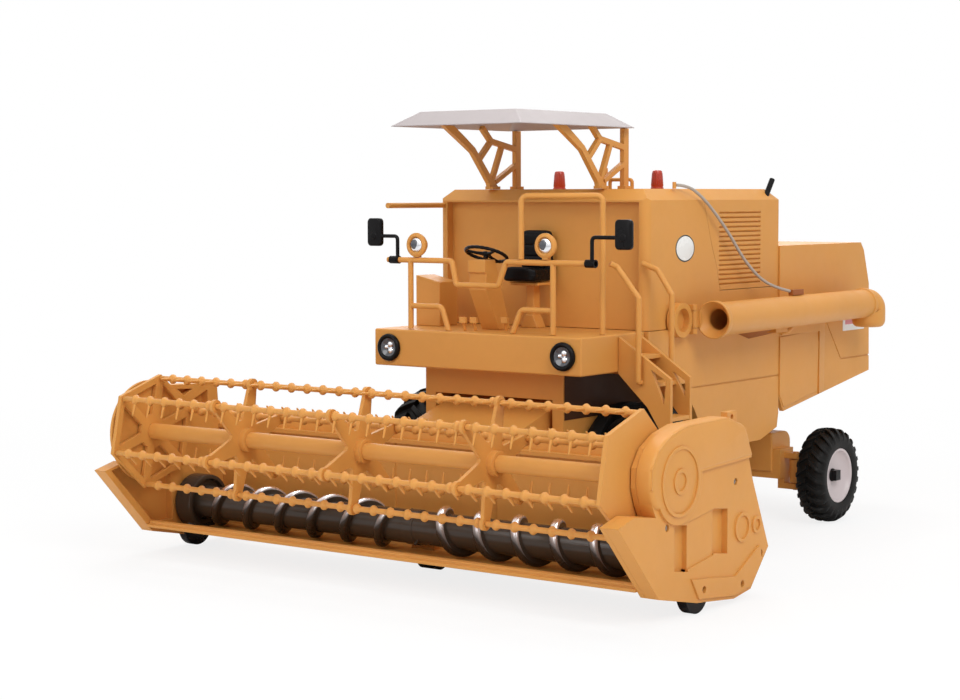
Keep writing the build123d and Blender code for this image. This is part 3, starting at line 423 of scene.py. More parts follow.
wheelSets = {
    "front": {"outer": 74.3, "width": 24.0, "radius": 36.9, "rimRadius": 21.0, "y": 0.0, "lugHeight": 2.6,
              "lugThick": 3.0},
    "rear": {"outer": 82.0, "width": 15.5, "radius": 24.3, "rimRadius": 14.1, "y": 150.6, "lugHeight": 1.7,
             "lugThick": 2.1},
}
tyreShape = {
    # share of the half width, share of the way from the rim to the tread's foot, and a drop below that
    "skin": [(0.0, 1, 0), (0.5, 1, 0.1), (0.78, 1, 0.9), (0.92, 0.72, 0), (1.0, 0.42, 0)],
    "wall": [(0.92, 0, -0.05), (0.97, 0.15, 0), (1.0, 0.42, 0), (0.97, 0.60, 0), (0.92, 0.72, 0),
             (0.86, 1, 2.0), (0.78, 1, 0.9), (0.5, 1, 0.1), (0.2, 1, 0)],
    # a lug from the tyre's middle out: share of the half width, share of its height
    "lug": [(0.03, 1.0), (0.3, 1.0), (0.6, 0.97), (0.82, 0.85), (0.93, 0.8), (0.99, 0.45)],
    "lugs": 24,      # on each side
    "lugSweep": 0.85,      # how far round it runs, in shares of the pitch
    "lugFoot": 1.25, "lugTop": 0.8, "lugSunk": 0.5, "lugWiden": 0.25,
    "steps": 72,
}


def wallRadius(spec, rise, drop):
    rim, top = spec["rimRadius"], spec["radius"] - spec["lugHeight"]
    return rim + (top - rim) * rise - drop


# how high the tyre's skin stands at a share of its half width
def skinRadius(spec, share):
    marks = [(s, wallRadius(spec, rise, drop)) for s, rise, drop in tyreShape["skin"]]
    for (s0, r0), (s1, r1) in zip(marks, marks[1:]):
        if share <= s1:
            return r0 + (r1 - r0) * (share - s0) / (s1 - s0)


def makeTyre(body, tyre, side, spec, shape):
    shell, half = newShell(), spec["width"] / 2
    middle = Vector((side * (spec["outer"] - half), spec["y"], spec["radius"]))
    near = [(s, wallRadius(spec, rise, drop)) for s, rise, drop in shape["wall"]]
    profile = [(-s * half, r) for s, r in near] + [(s * half, r) for s, r in reversed(near)]
    addTurned(shell, profile, middle, (1, 0, 0), steps=shape["steps"], loop=True)
    pitch = 2 * pi / shape["lugs"]
    foot, top = shape["lugFoot"], shape["lugTop"]
    for index in range(shape["lugs"] * 2):
        way = 1 if index % 2 else -1
        rings = []
        for share, height in shape["lug"]:
            turn = index * pitch / 2 + share * pitch * shape["lugSweep"]
            skin = skinRadius(spec, share)
            sunk, reach = skin - shape["lugSunk"], min(spec["radius"], skin + spec["lugHeight"] * height)
            spread = spec["lugThick"] / 2 / spec["radius"] * (1 + shape["lugWiden"] * share)
            x, ring = way * share * half, []
            for away, radius in ((-foot, sunk), (foot, sunk), (top, reach), (-top, reach)):
                angle = turn + away * spread
                ring.append(middle + Vector((x, cos(angle) * radius, sin(angle) * radius)))
            rings.append(ring)
        addRings(shell, rings)
    makePiece(tyre + "_tread", shell, ["tyreVinyl"], [tyre], body, smooth=50)


rimShape = {
    # (distance in from the outer face, share of the rim's radius, added to it), from the hub out
    "face": [(5.0, 0, 2.6), (5.0, 0, 6.2), (4.7, 0, 7.0), (4.4, 0.62, 0), (3.4, 0.78, 0), (2.2, 1, -1.9),
             (1.5, 1, -1.5), (0.9, 1, -1.2), (0.7, 1, -0.7), (0.9, 1, -0.1), (1.4, 1, 0)],
    # the same behind, from the rim's rear edge and back to the hub
    "rear": [(0, 1, 0), (0.3, 1, -0.9), (-0.6, 1, -1.5), (-3, 1, -2.6), (-3.4, 0, 5.6), (0, 0, 5.2),
             (0, 0, 2.6)],
    "rearEdge": 1.2,      # short of the tyre's width
    "cap": {"half": 2.65, "in": (5.0, 1.4), "collar": [(-5.4, 3.4), (-4.4, 3.4), (-4.2, 3.1)]},
    "steps": 64,
}


def makeRim(body, rim, side, spec, shape):
    outer, radius, y, z = spec["outer"], spec["rimRadius"], spec["y"], spec["radius"]
    back = spec["width"] - shape["rearEdge"]
    profile = [(-inboard, radius * share + more) for inboard, share, more in shape["face"]]
    profile += [(-back - inboard, radius * share + more) for inboard, share, more in shape["rear"]]
    shell = newShell()
    addTurned(shell, profile, (side * outer, y, z), (side, 0, 0), steps=shape["steps"], loop=True)
    makePiece(rim + "_dish", shell, ["rimPale"], [rim], body, smooth=50)
    cap, shell = shape["cap"], newShell()
    x0, x1 = sorted(side * (outer - inboard) for inboard in cap["in"])
    half = cap["half"]
    addBlock(shell, (x0, y - half, z - half), (x1, y + half, z + half))
    addTurned(shell, cap["collar"], (side * outer, y, z), (side, 0, 0))
    makePiece(rim + "_hub_cap", shell, ["blackPlastic"], body=body, edge=0.5)


# the inner half of the broad front tyres: (x, radius) from the inner side out
shoulderSet = {
    "profile": [(41.2, 24.0), (41.0, 30.5), (41.6, 33.4), (43.2, 35.2), (46.0, 36.0), (50.9, 36.1),
                (50.9, 24.0)],
    "steps": 72,
}


def makeTyreShoulder(body, side, wheel, spec):
    shell, centre = newShell(), (0, wheel["y"], wheel["radius"])
    addTurned(shell, spec["profile"], centre, (side, 0, 0), steps=spec["steps"], loop=True)
    makePiece(body + "_inner_tyre", shell, ["tyreVinyl"], body=body)


for end, spec in wheelSets.items():
    for hand, side in hands.items():
        makeTyre(f"{end}_wheel_{hand}", f"{end}_tyre_{hand}", side, spec, tyreShape)
        makeRim(f"{end}_wheel_{hand}", f"{end}_rim_{hand}", side, spec, rimShape)
for hand, side in hands.items():
    makeTyreShoulder(f"front_wheel_{hand}", side, wheelSets["front"], shoulderSet)
print("wheels made")


reelSet = {
    "y": -127.0, "z": 58.9, "circle": 25.0, "firstAngle": 41.9, "bars": 6, "from": -133.5, "to": 131.8,
    "barRadius": 1.2, "endReach": 0.4, "endShare": 0.6,
    "beadRadius": 2.3, "beadReach": 2.1,
    # a bead along its bar: share of its reach, share of its rise
    "bead": [(-1.0, 0.0), (-0.8, 0.12), (-0.5, 0.55), (-0.2, 0.95), (0.0, 1.0), (0.2, 0.95), (0.5, 0.55),
             (0.8, 0.12), (1.0, 0.0)],
    "tineFirst": -125.55, "tinePitch": 9.3, "tines": 28, "tineLength": 7.6,
    "tineAim": (-107, 176, 130, 80, -6, -46),      # degrees up from the rear, for each bar
    "tineRoot": 0.72, "tineTip": 0.45,
    # a tine along its length: share of the length, shares of the root's and the tip's radius
    "tineCuts": [(0.0, 1, 0), (0.3, 1, 0), (0.65, 0.5, 0.5), (0.93, 0, 1), (0.99, 0, 0.75), (1.0, 0, 0.3)],
}


def makeReelBars(spec):
    shell, radius = newShell(), spec["barRadius"]
    beads = [spec["tineFirst"] + i * spec["tinePitch"] for i in range(spec["tines"])]
    profile = [(spec["from"], radius * spec["endShare"]), (spec["from"] + spec["endReach"], radius)]
    for x in beads:
        profile += [(x + reach * spec["beadReach"], radius + (spec["beadRadius"] - radius) * rise)
                    for reach, rise in spec["bead"]]
    profile += [(spec["to"] - spec["endReach"], radius), (spec["to"], radius * spec["endShare"])]
    tineRadii = [spec["tineRoot"] * root + spec["tineTip"] * tip for share, root, tip in spec["tineCuts"]]
    for bar in range(spec["bars"]):
        angle = radians(spec["firstAngle"] + bar * 360 / spec["bars"])
        y, z = spec["y"] - spec["circle"] * cos(angle), spec["z"] + spec["circle"] * sin(angle)
        addTurned(shell, profile, (0, y, z), (1, 0, 0), steps=14)
        slope = radians(spec["tineAim"][bar])
        reach = Vector((0, cos(slope), sin(slope))) * spec["tineLength"]
        for x in beads:
            route = [Vector((x, y, z)) + reach * share for share, root, tip in spec["tineCuts"]]
            addBar(shell, route, tineRadii, steps=8)
    makePiece("reel_bars_beaded", shell, ["ochre"], ["reel_tine_bars"], body="reel", smooth=60)


makeReelBars(reelSet)
print("reel bars made")


augerSet = {
    "y": -97.0, "z": 22.3,
    # (x, radius) along the tube, from the far drum to the near shaft end
    "profile": [(-143.6, 0.4), (-143.6, 2.5), (-137.4, 2.5), (-137.4, 12.6), (-137.0, 13.1), (-136.2, 13.2),
                (-128.6, 13.2), (-127.8, 13.0), (-127.5, 12.5), (-127.5, 11.2), (-129.5, 10.6), (-129.8, 8.6),
                (-127.4, 7.6), (-3.2, 7.5), (-2.9, 7.9), (2.9, 7.9), (3.2, 7.5), (133.0, 7.5), (133.6, 7.1),
                (133.8, 2.5), (136.6, 2.5), (136.6, 0.4)],
    "fingers": {"x": (-8.4, -5.0, 5.0, 8.4), "root": 6, "reach": 9.9, "radius": 0.55, "firstAngle": 40,
                "turn": 90},
}
flightSet = {
    "pitch": 20.0, "from": 11.5, "length": 113.6, "stepsPerTurn": 36,
    "phase": {"left": -0.225, "right": 0.12},      # in turns
    # the cut of a flight: how far along the tube, radius, and 1 where the worn edge begins
    "cut": [(-2.2, 7.0, 0), (-2.0, 9.3, 0), (-1.8, 10.2, 1), (-1.1, 10.6, 1), (0.0, 10.7, 1), (1.1, 10.6, 1),
            (1.8, 10.2, 1), (2.0, 9.3, 0), (2.2, 7.0, 0)],
}


def makeFlights(spec, tube):
    turns = spec["length"] / spec["pitch"]
    count, cut = int(turns * spec["stepsPerTurn"]), spec["cut"]
    for hand, side in hands.items():
        shell, rings = newShell(), []
        for i in range(count + 1):
            angle = 2 * pi * (turns * i / count + spec["phase"][hand])
            start = spec["from"] + spec["length"] * i / count
            rings.append([Vector((side * (start + along), tube["y"] - sin(angle) * radius,
                                  tube["z"] + cos(angle) * radius)) for along, radius, worn in cut])
        addRings(shell, rings)
        for i in range(count * len(cut)):
            first, second = cut[i % len(cut)], cut[(i + 1) % len(cut)]
            shell["inks"][i] = 1 if first[2] or second[2] else 0
        stands, inks = ["auger_flights"] if hand == "left" else [], ["augerBrown", "flightSheen"]
        makePiece("auger_flight_" + hand, shell, inks, stands, body="auger", smooth=50)


def makeAuger(spec):
    shell, centre = newShell(), Vector((0, spec["y"], spec["z"]))
    addTurned(shell, spec["profile"], centre, (1, 0, 0), steps=56)
    fingers = spec["fingers"]
    for count, x in enumerate(fingers["x"]):
        angle = radians(fingers["firstAngle"] + fingers["turn"] * count)
        away, foot = Vector((0, cos(angle), sin(angle))), centre + Vector((x, 0, 0))
        route = [foot + away * fingers["root"], foot + away * fingers["reach"]]
        addBar(shell, route, fingers["radius"], steps=10)
    makePiece("auger_tube", shell, ["augerBrown"], ["header_auger"], body="auger")


makeFlights(flightSet, augerSet)
makeAuger(augerSet)
print("auger made")


beaconSet = {
    "x": (-29, 29), "y": 56.0, "foot": 171.65,
    "profile": [(0.0, 3.2), (0.7, 3.2), (0.9, 2.95), (1.3, 2.95), (1.5, 3.05), (7.9, 2.5), (8.6, 2.35),
                (9.0, 2.0), (9.2, 1.4), (9.2, 0.2)],
    "ribs": 16, "ribRadius": 0.14, "ribFoot": (2.96, 1.9), "ribTop": (2.5, 7.6),      # out from the axis, up
}


def makeBeacons(spec):
    shell = newShell()
    for x in spec["x"]:
        foot = Vector((x, spec["y"], spec["foot"]))
        addTurned(shell, spec["profile"], foot, (0, 0, 1), steps=40)
        ends = [circleRing(foot + Vector((0, 0, up)), Vector((1, 0, 0)), Vector((0, 1, 0)), out, spec["ribs"])
                for out, up in (spec["ribFoot"], spec["ribTop"])]
        for route in zip(*ends):
            addBar(shell, route, spec["ribRadius"], steps=6)
    makePiece("beacon_lenses", shell, ["beaconRed"], ["beacons"], smooth=35)


makeBeacons(beaconSet)
print("beacons made")


# turned outlines are (back from the lamp's centre, radius)
workLampSet = {
    "places": ((-36.4, 145.7), (37.1, 146.2)), "y": -50.0,
    "case": [(4.1, 0.3), (4.0, 1.6), (3.3, 3.6), (0.9, 5.2), (-0.5, 5.7), (-1.1, 5.65), (-1.6, 5.0),
             (-1.8, 4.2), (-1.6, 3.8), (-0.6, 3.7), (0.2, 3.5), (0.6, 0.3)],
    "stalk": {"halfX": 1.6, "halfY": 1.2, "foot": 139.95, "below": 3.4},
    "dome": [(-0.5, 3.72), (-1.0, 3.5), (-1.35, 3.0), (-1.55, 2.2), (-1.7, 1.2), (-1.75, 0.2), (-1.2, 0.2),
             (-1.0, 2.4), (-0.3, 3.6)],
    "bulb": [(-1.2, 2.35), (-1.6, 2.2), (-1.78, 1.5), (-1.84, 0.1)],
    "bulbShift": (-0.7, 0, 0.3),
}


def makeWorkLamps(spec):
    case, glass, bulbs, stalk = newShell(), newShell(), newShell(), spec["stalk"]
    for x, z in spec["places"]:
        centre, y = Vector((x, spec["y"], z)), spec["y"]
        addTurned(case, spec["case"], centre, (0, 1, 0), steps=48, loop=True)
        addBlock(case, (x - stalk["halfX"], y - stalk["halfY"], stalk["foot"]),
                 (x + stalk["halfX"], y + stalk["halfY"], z - stalk["below"]))
        addTurned(glass, spec["dome"], centre, (0, 1, 0), steps=40, loop=True)
        addTurned(bulbs, spec["bulb"], centre + Vector(spec["bulbShift"]), (0, 1, 0))
    makePiece("work_lamp_cases", case, ["ochre"], ["work_lamps"], edge=0.15)
    makePiece("work_lamp_reflectors", glass, ["lampChrome"], smooth=60)
    makePiece("work_lamp_bulbs", bulbs, ["bulbGrey"], smooth=60)


headlightSet = {
    "x": (-49.6, 49.6), "y": -54.5, "z": 97.45,
    "bezel": [(-0.05, 6.3), (-0.8, 6.5), (-1.7, 6.3), (-2.2, 5.7), (-2.2, 5.1), (-1.8, 4.5), (-1.2, 4.2),
              (-0.05, 4.2)],
    "dish": [(-1.5, 4.25), (-1.35, 3.7), (-0.7, 2.6), (-0.4, 1.2), (-0.4, 0.1), (-0.06, 0.1), (-0.06, 4.25)],
    "bulbs": ((0.7, 1.5, 1.75), (0.9, -1.5, 1.7), (-1.6, 0.2, 1.2)),      # (to the left, up, radius)
    "dome": [(-0.3, 1), (-0.9, 0.92), (-1.4, 0.6), (-1.65, 0.1)],      # share of the bulb's radius
}


def makeHeadlights(spec):
    bezel, dish, bulbs = newShell(), newShell(), newShell()
    for x in spec["x"]:
        centre = Vector((x, spec["y"], spec["z"]))
        addTurned(bezel, spec["bezel"], centre, (0, 1, 0), steps=48, loop=True)
        addTurned(dish, spec["dish"], centre, (0, 1, 0), steps=40, loop=True)
        for away, lift, size in spec["bulbs"]:
            dome = [(back, size * share) for back, share in spec["dome"]]
            addTurned(bulbs, dome, centre + Vector((away, 0, lift)), (0, 1, 0), steps=20)
    makePiece("headlight_bezels", bezel, ["blackPlastic"], ["headlights"], smooth=45)
    makePiece("headlight_reflectors", dish, ["bulbGrey"], smooth=60)
    makePiece("headlight_bulbs", bulbs, ["lampChrome"], smooth=60)


makeWorkLamps(workLampSet)
makeHeadlights(headlightSet)
print("lamps made")


# a rounded pad: a block whose faces swell and whose corners are drawn in; the smaller square is, the boxier
def addPad(shell, low, high, square, steps=28):
    low, high = Vector(low), Vector(high)
    middle, half = (low + high) / 2, (high - low) / 2

    def bent(value):
        return copysign(abs(value) ** square, value)

    rings = []
    for r in range(1, steps):
        rise = pi * (r / steps - 0.5)
        level, up = bent(cos(rise)), bent(sin(rise))
        ring = []
        for i in range(steps * 2):
            turn = pi * i / steps
            away = (level * bent(cos(turn)), level * bent(sin(turn)), up)
            ring.append(middle + Vector([a * h for a, h in zip(away, half)]))
        rings.append(ring)
    addRings(shell, rings)


seatSet = {
    "cushion": ((-10.4, -19.0, 128.1), (8.4, -3.2, 134.4)),
    "bolster": ((-10.4, -19.2, 128.4), (8.4, -15.2, 135.2)),
    "back": ((-9.3, -4.9, 129.6), (7.3, -1.0, 152.2)),
    "backPads": (((-8.3, -5.6, 134.6), (6.3, -3.6, 139.9)), ((-8.3, -5.7, 140.1), (6.3, -3.6, 145.2)),
                 ((-8.3, -5.6, 145.4), (6.3, -3.6, 150.6))),
    "seam": {"radius": 0.28, "z": 131.2, "rearIn": 0.6, "rearShort": 1, "sideOut": 0.02, "frontIn": 0.3,
             "bend": 1.6},
    "lever": {"knob": ((-13.4, -10, 131.0), (-11.9, -6, 133.6)),
              "rod": ((-12.6, -8, 132.3), (-9.4, -8, 132.3)), "radius": 0.7},
}


def makeSeat(spec):
    shell, seam, lever = newShell(), spec["seam"], spec["lever"]
    addPad(shell, *spec["cushion"], square=0.3)
    addPad(shell, *spec["bolster"], square=0.55)
    addPad(shell, *spec["back"], square=0.3)
    for low, high in spec["backPads"]:
        addPad(shell, low, high, square=0.42, steps=16)
    (x0, y0, z0), (x1, y1, z1) = spec["cushion"]
    y0, y1, z = y0 + seam["frontIn"], y1 - seam["rearShort"], seam["z"]
    corners = [(x0 + seam["rearIn"], y1, z), (x0 - seam["sideOut"], y0, z), (x1 + seam["sideOut"], y0, z),
               (x1 - seam["rearIn"], y1, z)]
    addBar(shell, bentRoute(corners, seam["bend"]), seam["radius"], steps=8)
    addBlock(shell, *lever["knob"])
    addBar(shell, lever["rod"], lever["radius"])
    makePiece("seat_moulding", shell, ["blackPlastic"], ["seat"], smooth=50)


wheelRimSet = {
    "centre": (-8.1, -34.0, 141.4), "lean": 0.40, "radius": 9.8,
    "grip": 0.85, "steps": 72, "notchEvery": 3, "notch": 0.88,
    "hub": [(-2.0, 1.1), (-0.9, 1.2), (-0.8, 2.0), (0.3, 2.2), (0.8, 1.9), (1.1, 1.2), (1.2, 0.2)],
    "spokes": 3, "firstSpoke": 90, "spokeFrom": 1.5, "spokeBend": (5, -0.2), "spokeRadii": (0.95, 0.7, 0.62),
}


def makeSteeringWheel(spec):
    shell, centre, radius = newShell(), Vector(spec["centre"]), spec["radius"]
    up = Vector((0, spec["lean"], 1)).normalized()
    first = Vector((1, 0, 0))
    second = up.cross(first)
    grips = [spec["grip"] * (1.0 if i % spec["notchEvery"] else spec["notch"]) for i in range(spec["steps"])]
    addBar(shell, circleRing(centre, first, second, radius, spec["steps"]), grips, loop=True)
    addTurned(shell, spec["hub"], centre, up)
    for i in range(spec["spokes"]):
        angle = radians(spec["firstSpoke"] + i * 360 / spec["spokes"])
        away = first * cos(angle) + second * sin(angle)
        reaches = ((spec["spokeFrom"], 0), spec["spokeBend"], (radius, 0))
        route = [centre + away * out + up * rise for out, rise in reaches]
        addBar(shell, route, spec["spokeRadii"], steps=10)
    makePiece("steering_wheel_rim", shell, ["blackPlastic"], ["steering_wheel"])


mirrorSets = {
    "right": {"armX": -48.3, "armTop": 149.7, "clamp": (-52.4, -47.2), "head": (-66.0, -57.6)},
    "left": {"armX": 61.6, "armTop": 150.2, "clamp": (58.6, 63.6), "head": (74.0, 82.6)},
}
mirrorSize = {
    "railY": -50.0, "railZ": 138.6, "low": 144.9, "high": 158.1, "corner": 1.9,
    "clampRadii": (1.33, 1.85), "lug": {"inset": 0.8, "y": (-2.2, -1.4), "half": 0.9},
    "arm": 0.9, "armFoot": 1.6, "armBend": 2.0,
    # (back from the rail, how far in from the outline) round the head's edge
    "head": [(-1.3, 0.7), (-1.1, 0.25), (-0.7, 0.0), (0.9, 0.0), (1.3, 0.3), (1.3, 0.75), (0.9, 0.8)],
    "cornerShare": 0.6, "boss": [(-1.7, 0.3), (-1.6, 1.5), (-1.2, 1.7)],
    "glass": (0.85, 1.05), "glassIn": 0.8, "glassCorner": 1.4,
}


# a rounded rectangle in the x-z plane, drawn in by inset
def roundedFrame(x, z, y, inset, corner, steps=6):
    (x0, x1), (z0, z1) = ((low + inset + corner, high - inset - corner) for low, high in (x, z))
    ring = []
    for cx, cz, start in ((x1, z1, 0), (x0, z1, 90), (x0, z0, 180), (x1, z0, 270)):
        for i in range(steps + 1):
            angle = radians(start + 90 * i / steps)
            ring.append(Vector((cx + corner * cos(angle), y, cz + corner * sin(angle))))
    return ring


def makeMirrors(sets, size):
    shell, glass = newShell(), newShell()
    y, z, lug, (bore, outer) = size["railY"], size["railZ"], size["lug"], size["clampRadii"]
    tall = (size["low"], size["high"])
    for spec in sets.values():
        x0, x1 = spec["clamp"]
        clamp = [(x0, bore), (x0, outer), (x1, outer), (x1, bore)]
        addTurned(shell, clamp, (0, y, z), (1, 0, 0), steps=28, loop=True)
        addBlock(shell, (x0 + lug["inset"], y + lug["y"][0], z - lug["half"]),
                 (x1 - lug["inset"], y + lug["y"][1], z + lug["half"]))
        wide, armX, top = spec["head"], spec["armX"], spec["armTop"]
        arm = [(armX, y, z + size["armFoot"]), (armX, y, top), (sum(wide) / 2, y, top)]
        addBar(shell, bentRoute(arm, size["armBend"]), size["arm"])
        rings = []
        for away, inset in size["head"]:
            corner = size["corner"] - inset * size["cornerShare"]
            rings.append(roundedFrame(wide, tall, y + away, inset, corner))
        addRings(shell, rings)
        addTurned(shell, size["boss"], (sum(wide) / 2, y, top), (0, 1, 0), steps=24)
        addRings(glass, [roundedFrame(wide, tall, y + away, size["glassIn"], size["glassCorner"])
                         for away in size["glass"]])
    makePiece("mirror_heads", shell, ["blackPlastic"], ["mirrors"])
    makePiece("mirror_glasses", glass, ["lampChrome"])


makeSeat(seatSet)
makeSteeringWheel(wheelRimSet)
makeMirrors(mirrorSets, mirrorSize)
print("seat, steering wheel and mirrors made")


stickerSet = {
    "oval": {"x": (60.21, 60.32), "y": 30.8, "z": 143.6, "reachY": 8.5, "reachZ": 6.35, "edge": 0.45,
             "whiteIn": 0.65, "whiteProud": 0.02, "steps": 64},
    "label": {"x": (61.21, 61.32), "y": (192.0, 217.0), "z": (96.0, 104.8), "bandX": (61.30, 61.35),
              "bandY": (194.6, 208.2), "bandZ": (99.3, 104.3)},
}


def ovalRing(x, spec, inset):
    ring = []
    for i in range(spec["steps"]):
        angle = 2 * pi * i / spec["steps"]
        ring.append(Vector((x, spec["y"] + (spec["reachY"] - inset) * cos(angle),
                            spec["z"] + (spec["reachZ"] - inset) * sin(angle))))
    return ring


def makeStickers(spec):
    oval, shell = spec["oval"], newShell()
    x0, x1 = oval["x"]
    inner = ovalRing(x1, oval, oval["edge"])
    addRings(shell, [ovalRing(x0, oval, 0), ovalRing(x1, oval, 0), inner], ink=1, caps=False)
    addRings(shell, [inner, ovalRing(x1 + oval["whiteProud"], oval, oval["whiteIn"])])
    makePiece("blank_oval_sticker", shell, ["stickerWhite", "stickerEdge"], smooth=30)
    label, shell = spec["label"], newShell()
    addBlock(shell, *zip(label["x"], label["y"], label["z"]))
    addBlock(shell, *zip(label["bandX"], label["bandY"], label["bandZ"]), ink=1)
    makePiece("blank_label", shell, ["stickerWhite", "stickerPink"], smooth=30)


makeStickers(stickerSet)
print("stickers made")


tubeSet = {
    "x": 75.0, "front": 32.0, "rear": 190.0, "z": 110.3, "rise": 1.0,
    # (distance back from the mouth, radius), outside then inside
    "wall": [(0.0, 8.5), (0.25, 8.95), (3.0, 9.0), (3.5, 8.7), (3.8, 8.0), (154.6, 7.5), (154.8, 8.2),
             (157.2, 8.2), (157.2, 6.3), (6.2, 6.6), (5.8, 5.0), (4.6, 5.0), (3.6, 5.6), (1.2, 7.4),
             (0.4, 8.1)],
    "elbow": [(186.0, 111.2), (194.4, 111.2), (194.4, 98.7)],
    "elbowBend": 8.0, "elbowRadii": (7.5, 8.8), "elbowSwell": 1.6, "elbowWall": 1.3, "elbowSteps": 40,
    # (height above the elbow's end, share of its radius)
    "elbowTip": [(3.4, 1.0), (1.8, 0.95), (0.7, 0.86), (0.15, 0.76), (0.0, 0.66)],
    "hinge": {"x": 65.0, "y": 31.5, "radius": 1.5, "bore": 0.96, "from": 106.3, "to": 114.3,
              "webX": (66.0, 68.0), "webY": (32.0, 37.6)},
}


def makeTube(spec):
    shell, steps = newShell(), spec["elbowSteps"]
    x, z, run = spec["x"], spec["z"], spec["rear"] - spec["front"]
    addTurned(shell, spec["wall"], (x, spec["front"], z), (0, run, spec["rise"]), steps=56, loop=True)
    route = bentRoute([(x, y, height) for y, height in spec["elbow"]], spec["elbowBend"], steps=12)
    small, large = spec["elbowRadii"]
    count = len(route) - 1
    radii = [small + (large - small) * min(1.0, spec["elbowSwell"] * i / count) for i in range(count)]
    route[-1:] = [route[-1] + Vector((0, 0, height)) for height, share in spec["elbowTip"]]
    radii += [large * share for height, share in spec["elbowTip"]]
    outer, inner = newShell(), newShell()
    addBar(outer, route, radii, steps)
    addBar(inner, route, [r - spec["elbowWall"] for r in radii], steps)
    rings = [outer["points"][i * steps:(i + 1) * steps] for i in range(len(route))]
    rings += [inner["points"][i * steps:(i + 1) * steps] for i in reversed(range(len(route)))]
    addRings(shell, rings, loop=True)
    hinge = spec["hinge"]
    low, high = hinge["from"], hinge["to"]
    eye = [(low, hinge["bore"]), (low, hinge["radius"]), (high, hinge["radius"]), (high, hinge["bore"])]
    addTurned(shell, eye, (hinge["x"], hinge["y"], 0), (0, 0, 1), steps=28, loop=True)
    addBlock(shell, *zip(hinge["webX"], hinge["webY"], (low, high)))
    makePiece("unloading_tube_shell", shell, ["ochre"], ["unloading_tube"], body="unloader", smooth=42)


makeTube(tubeSet)
print("unloading tube made")


guardSet = {
    "inner": 137.2, "face": 144.4, "corner": 1.9, "cornerSteps": 6, "curveSteps": 5,
    # (y, z) round the guard, clockwise from the front of its lower edge
    "outline": [(-121.5, 45.2), (-128.4, 47.4), (-131.4, 52.5), (-132.3, 58.5), (-131.2, 64.2),
                (-127.6, 69.2), (-122.4, 72.9), (-115.0, 75.7), (-105.4, 77.8), (-90.0, 78.3), (-74.0, 78.3),
                (-65.6, 75.7), (-58.4, 72.4), (-53.6, 59.8), (-97.6, 58.0), (-100.6, 49.8), (-105.6, 44.2),
                (-113.0, 42.6)],
    "sharp": (12, 15),      # these corners aren't smoothed
}


# a closed curve through the points, with extra points along the bends
def smoothLoop(points, steps):
    count, curve = len(points), []
    for i in range(count):
        p0, p1, p2, p3 = (Vector(points[(i + k) % count]) for k in (-1, 0, 1, 2))
        for k in range(steps):
            t = k / steps
            curve.append(((2 * p1) + (p2 - p0) * t + (2 * p0 - 5 * p1 + 4 * p2 - p3) * t ** 2
                          + (3 * p1 - p0 - 3 * p2 + p3) * t ** 3) / 2)
    return curve


# the outline drawn in towards its middle
def drawnIn(curve, amount):
    middle, ring = sum(curve, Vector((0, 0))) / len(curve), []
    for i, point in enumerate(curve):
        along = (curve[(i + 1) % len(curve)] - curve[i - 1]).normalized()
        inward = Vector((along.y, -along.x))
        if inward.dot(middle - point) < 0:
            inward = -inward
        ring.append(point + inward * amount)
    return ring


def makeGuard(spec):
    outline, steps, corner = spec["outline"], spec["curveSteps"], spec["corner"]
    first, last = spec["sharp"]
    smooth = smoothLoop(outline, steps)
    curve = smooth[:first * steps] + [Vector(p) for p in outline[first:last]] + smooth[last * steps:]
    rings = [[Vector((spec["inner"], p.x, p.y)) for p in curve]]
    for i in range(spec["cornerSteps"] + 1):
        angle = radians(90 * i / spec["cornerSteps"])
        inset, x = corner * (1 - cos(angle)), spec["face"] - corner * (1 - sin(angle))
        rings.append([Vector((x, p.x, p.y)) for p in drawnIn(curve, inset)])
    shell = newShell()
    addRings(shell, rings)
    makePiece("belt_guard", shell, ["ochre"], body="header", smooth=50)


# the trough's back where it meets the feeder
backSet = {"x": (-29.6, 29.6), "y": (-75.8, -74.6), "z": (19.4, 56.6)}


def makeTroughBack(spec):
    shell = newShell()
    addBlock(shell, *zip(spec["x"], spec["y"], spec["z"]))
    makePiece("trough_back_plate", shell, ["ochre"], body="header", edge=0.3)


makeGuard(guardSet)
makeTroughBack(backSet)
print("belt guard and trough back made")


# the raised upper side that the lower rear panels stand back from
stepSet = {"foot": 61.1, "proud": 62.1, "y": (123.4, 164.0), "z": (97.5, 105.4), "fadeTo": 171.5,
           "foldFoot": (64.5, 65.7), "fadeProud": 0.05}


def makeSideSteps(spec):
    shell = newShell()
    foot, proud, (y0, y1), (z0, z1) = spec["foot"], spec["proud"], spec["y"], spec["z"]
    y2, (z2, z3), thin = spec["fadeTo"], spec["foldFoot"], spec["foot"] + spec["fadeProud"]
    for side in hands.values():
        addBlock(shell, (side * foot, y0, z0), (side * proud, y1, z1))
        near = [Vector((side * x, y1, z)) for x, z in ((foot, z2), (proud, z2), (proud, z1), (foot, z1))]
        far = [Vector((side * x, y2, z)) for x, z in ((foot, z3), (thin, z3), (thin, z1), (foot, z1))]
        addRings(shell, [near, far])
    makePiece("side_steps", shell, ["ochre"], edge=0.25, smooth=35)


# the gusset and the loop that the unloading tube rests over; the gusset is painted dark umber as painted
# shadow under the tube
gussetSet = {
    "foot": 60.2,
    # (y, lowest z, how far it stands out)
    "cuts": [(73.0, 101.9, 0.9), (90.7, 97.1, 9.0), (119.0, 98.8, 9.0)], "top": 102.6,
    "loop": [(60.4, 119.9, 99.9), (66.6, 119.9, 99.9), (66.6, 125.6, 102.2), (60.4, 125.6, 102.2)],
    "loopRadius": 1.35, "loopBend": 2.2,
}


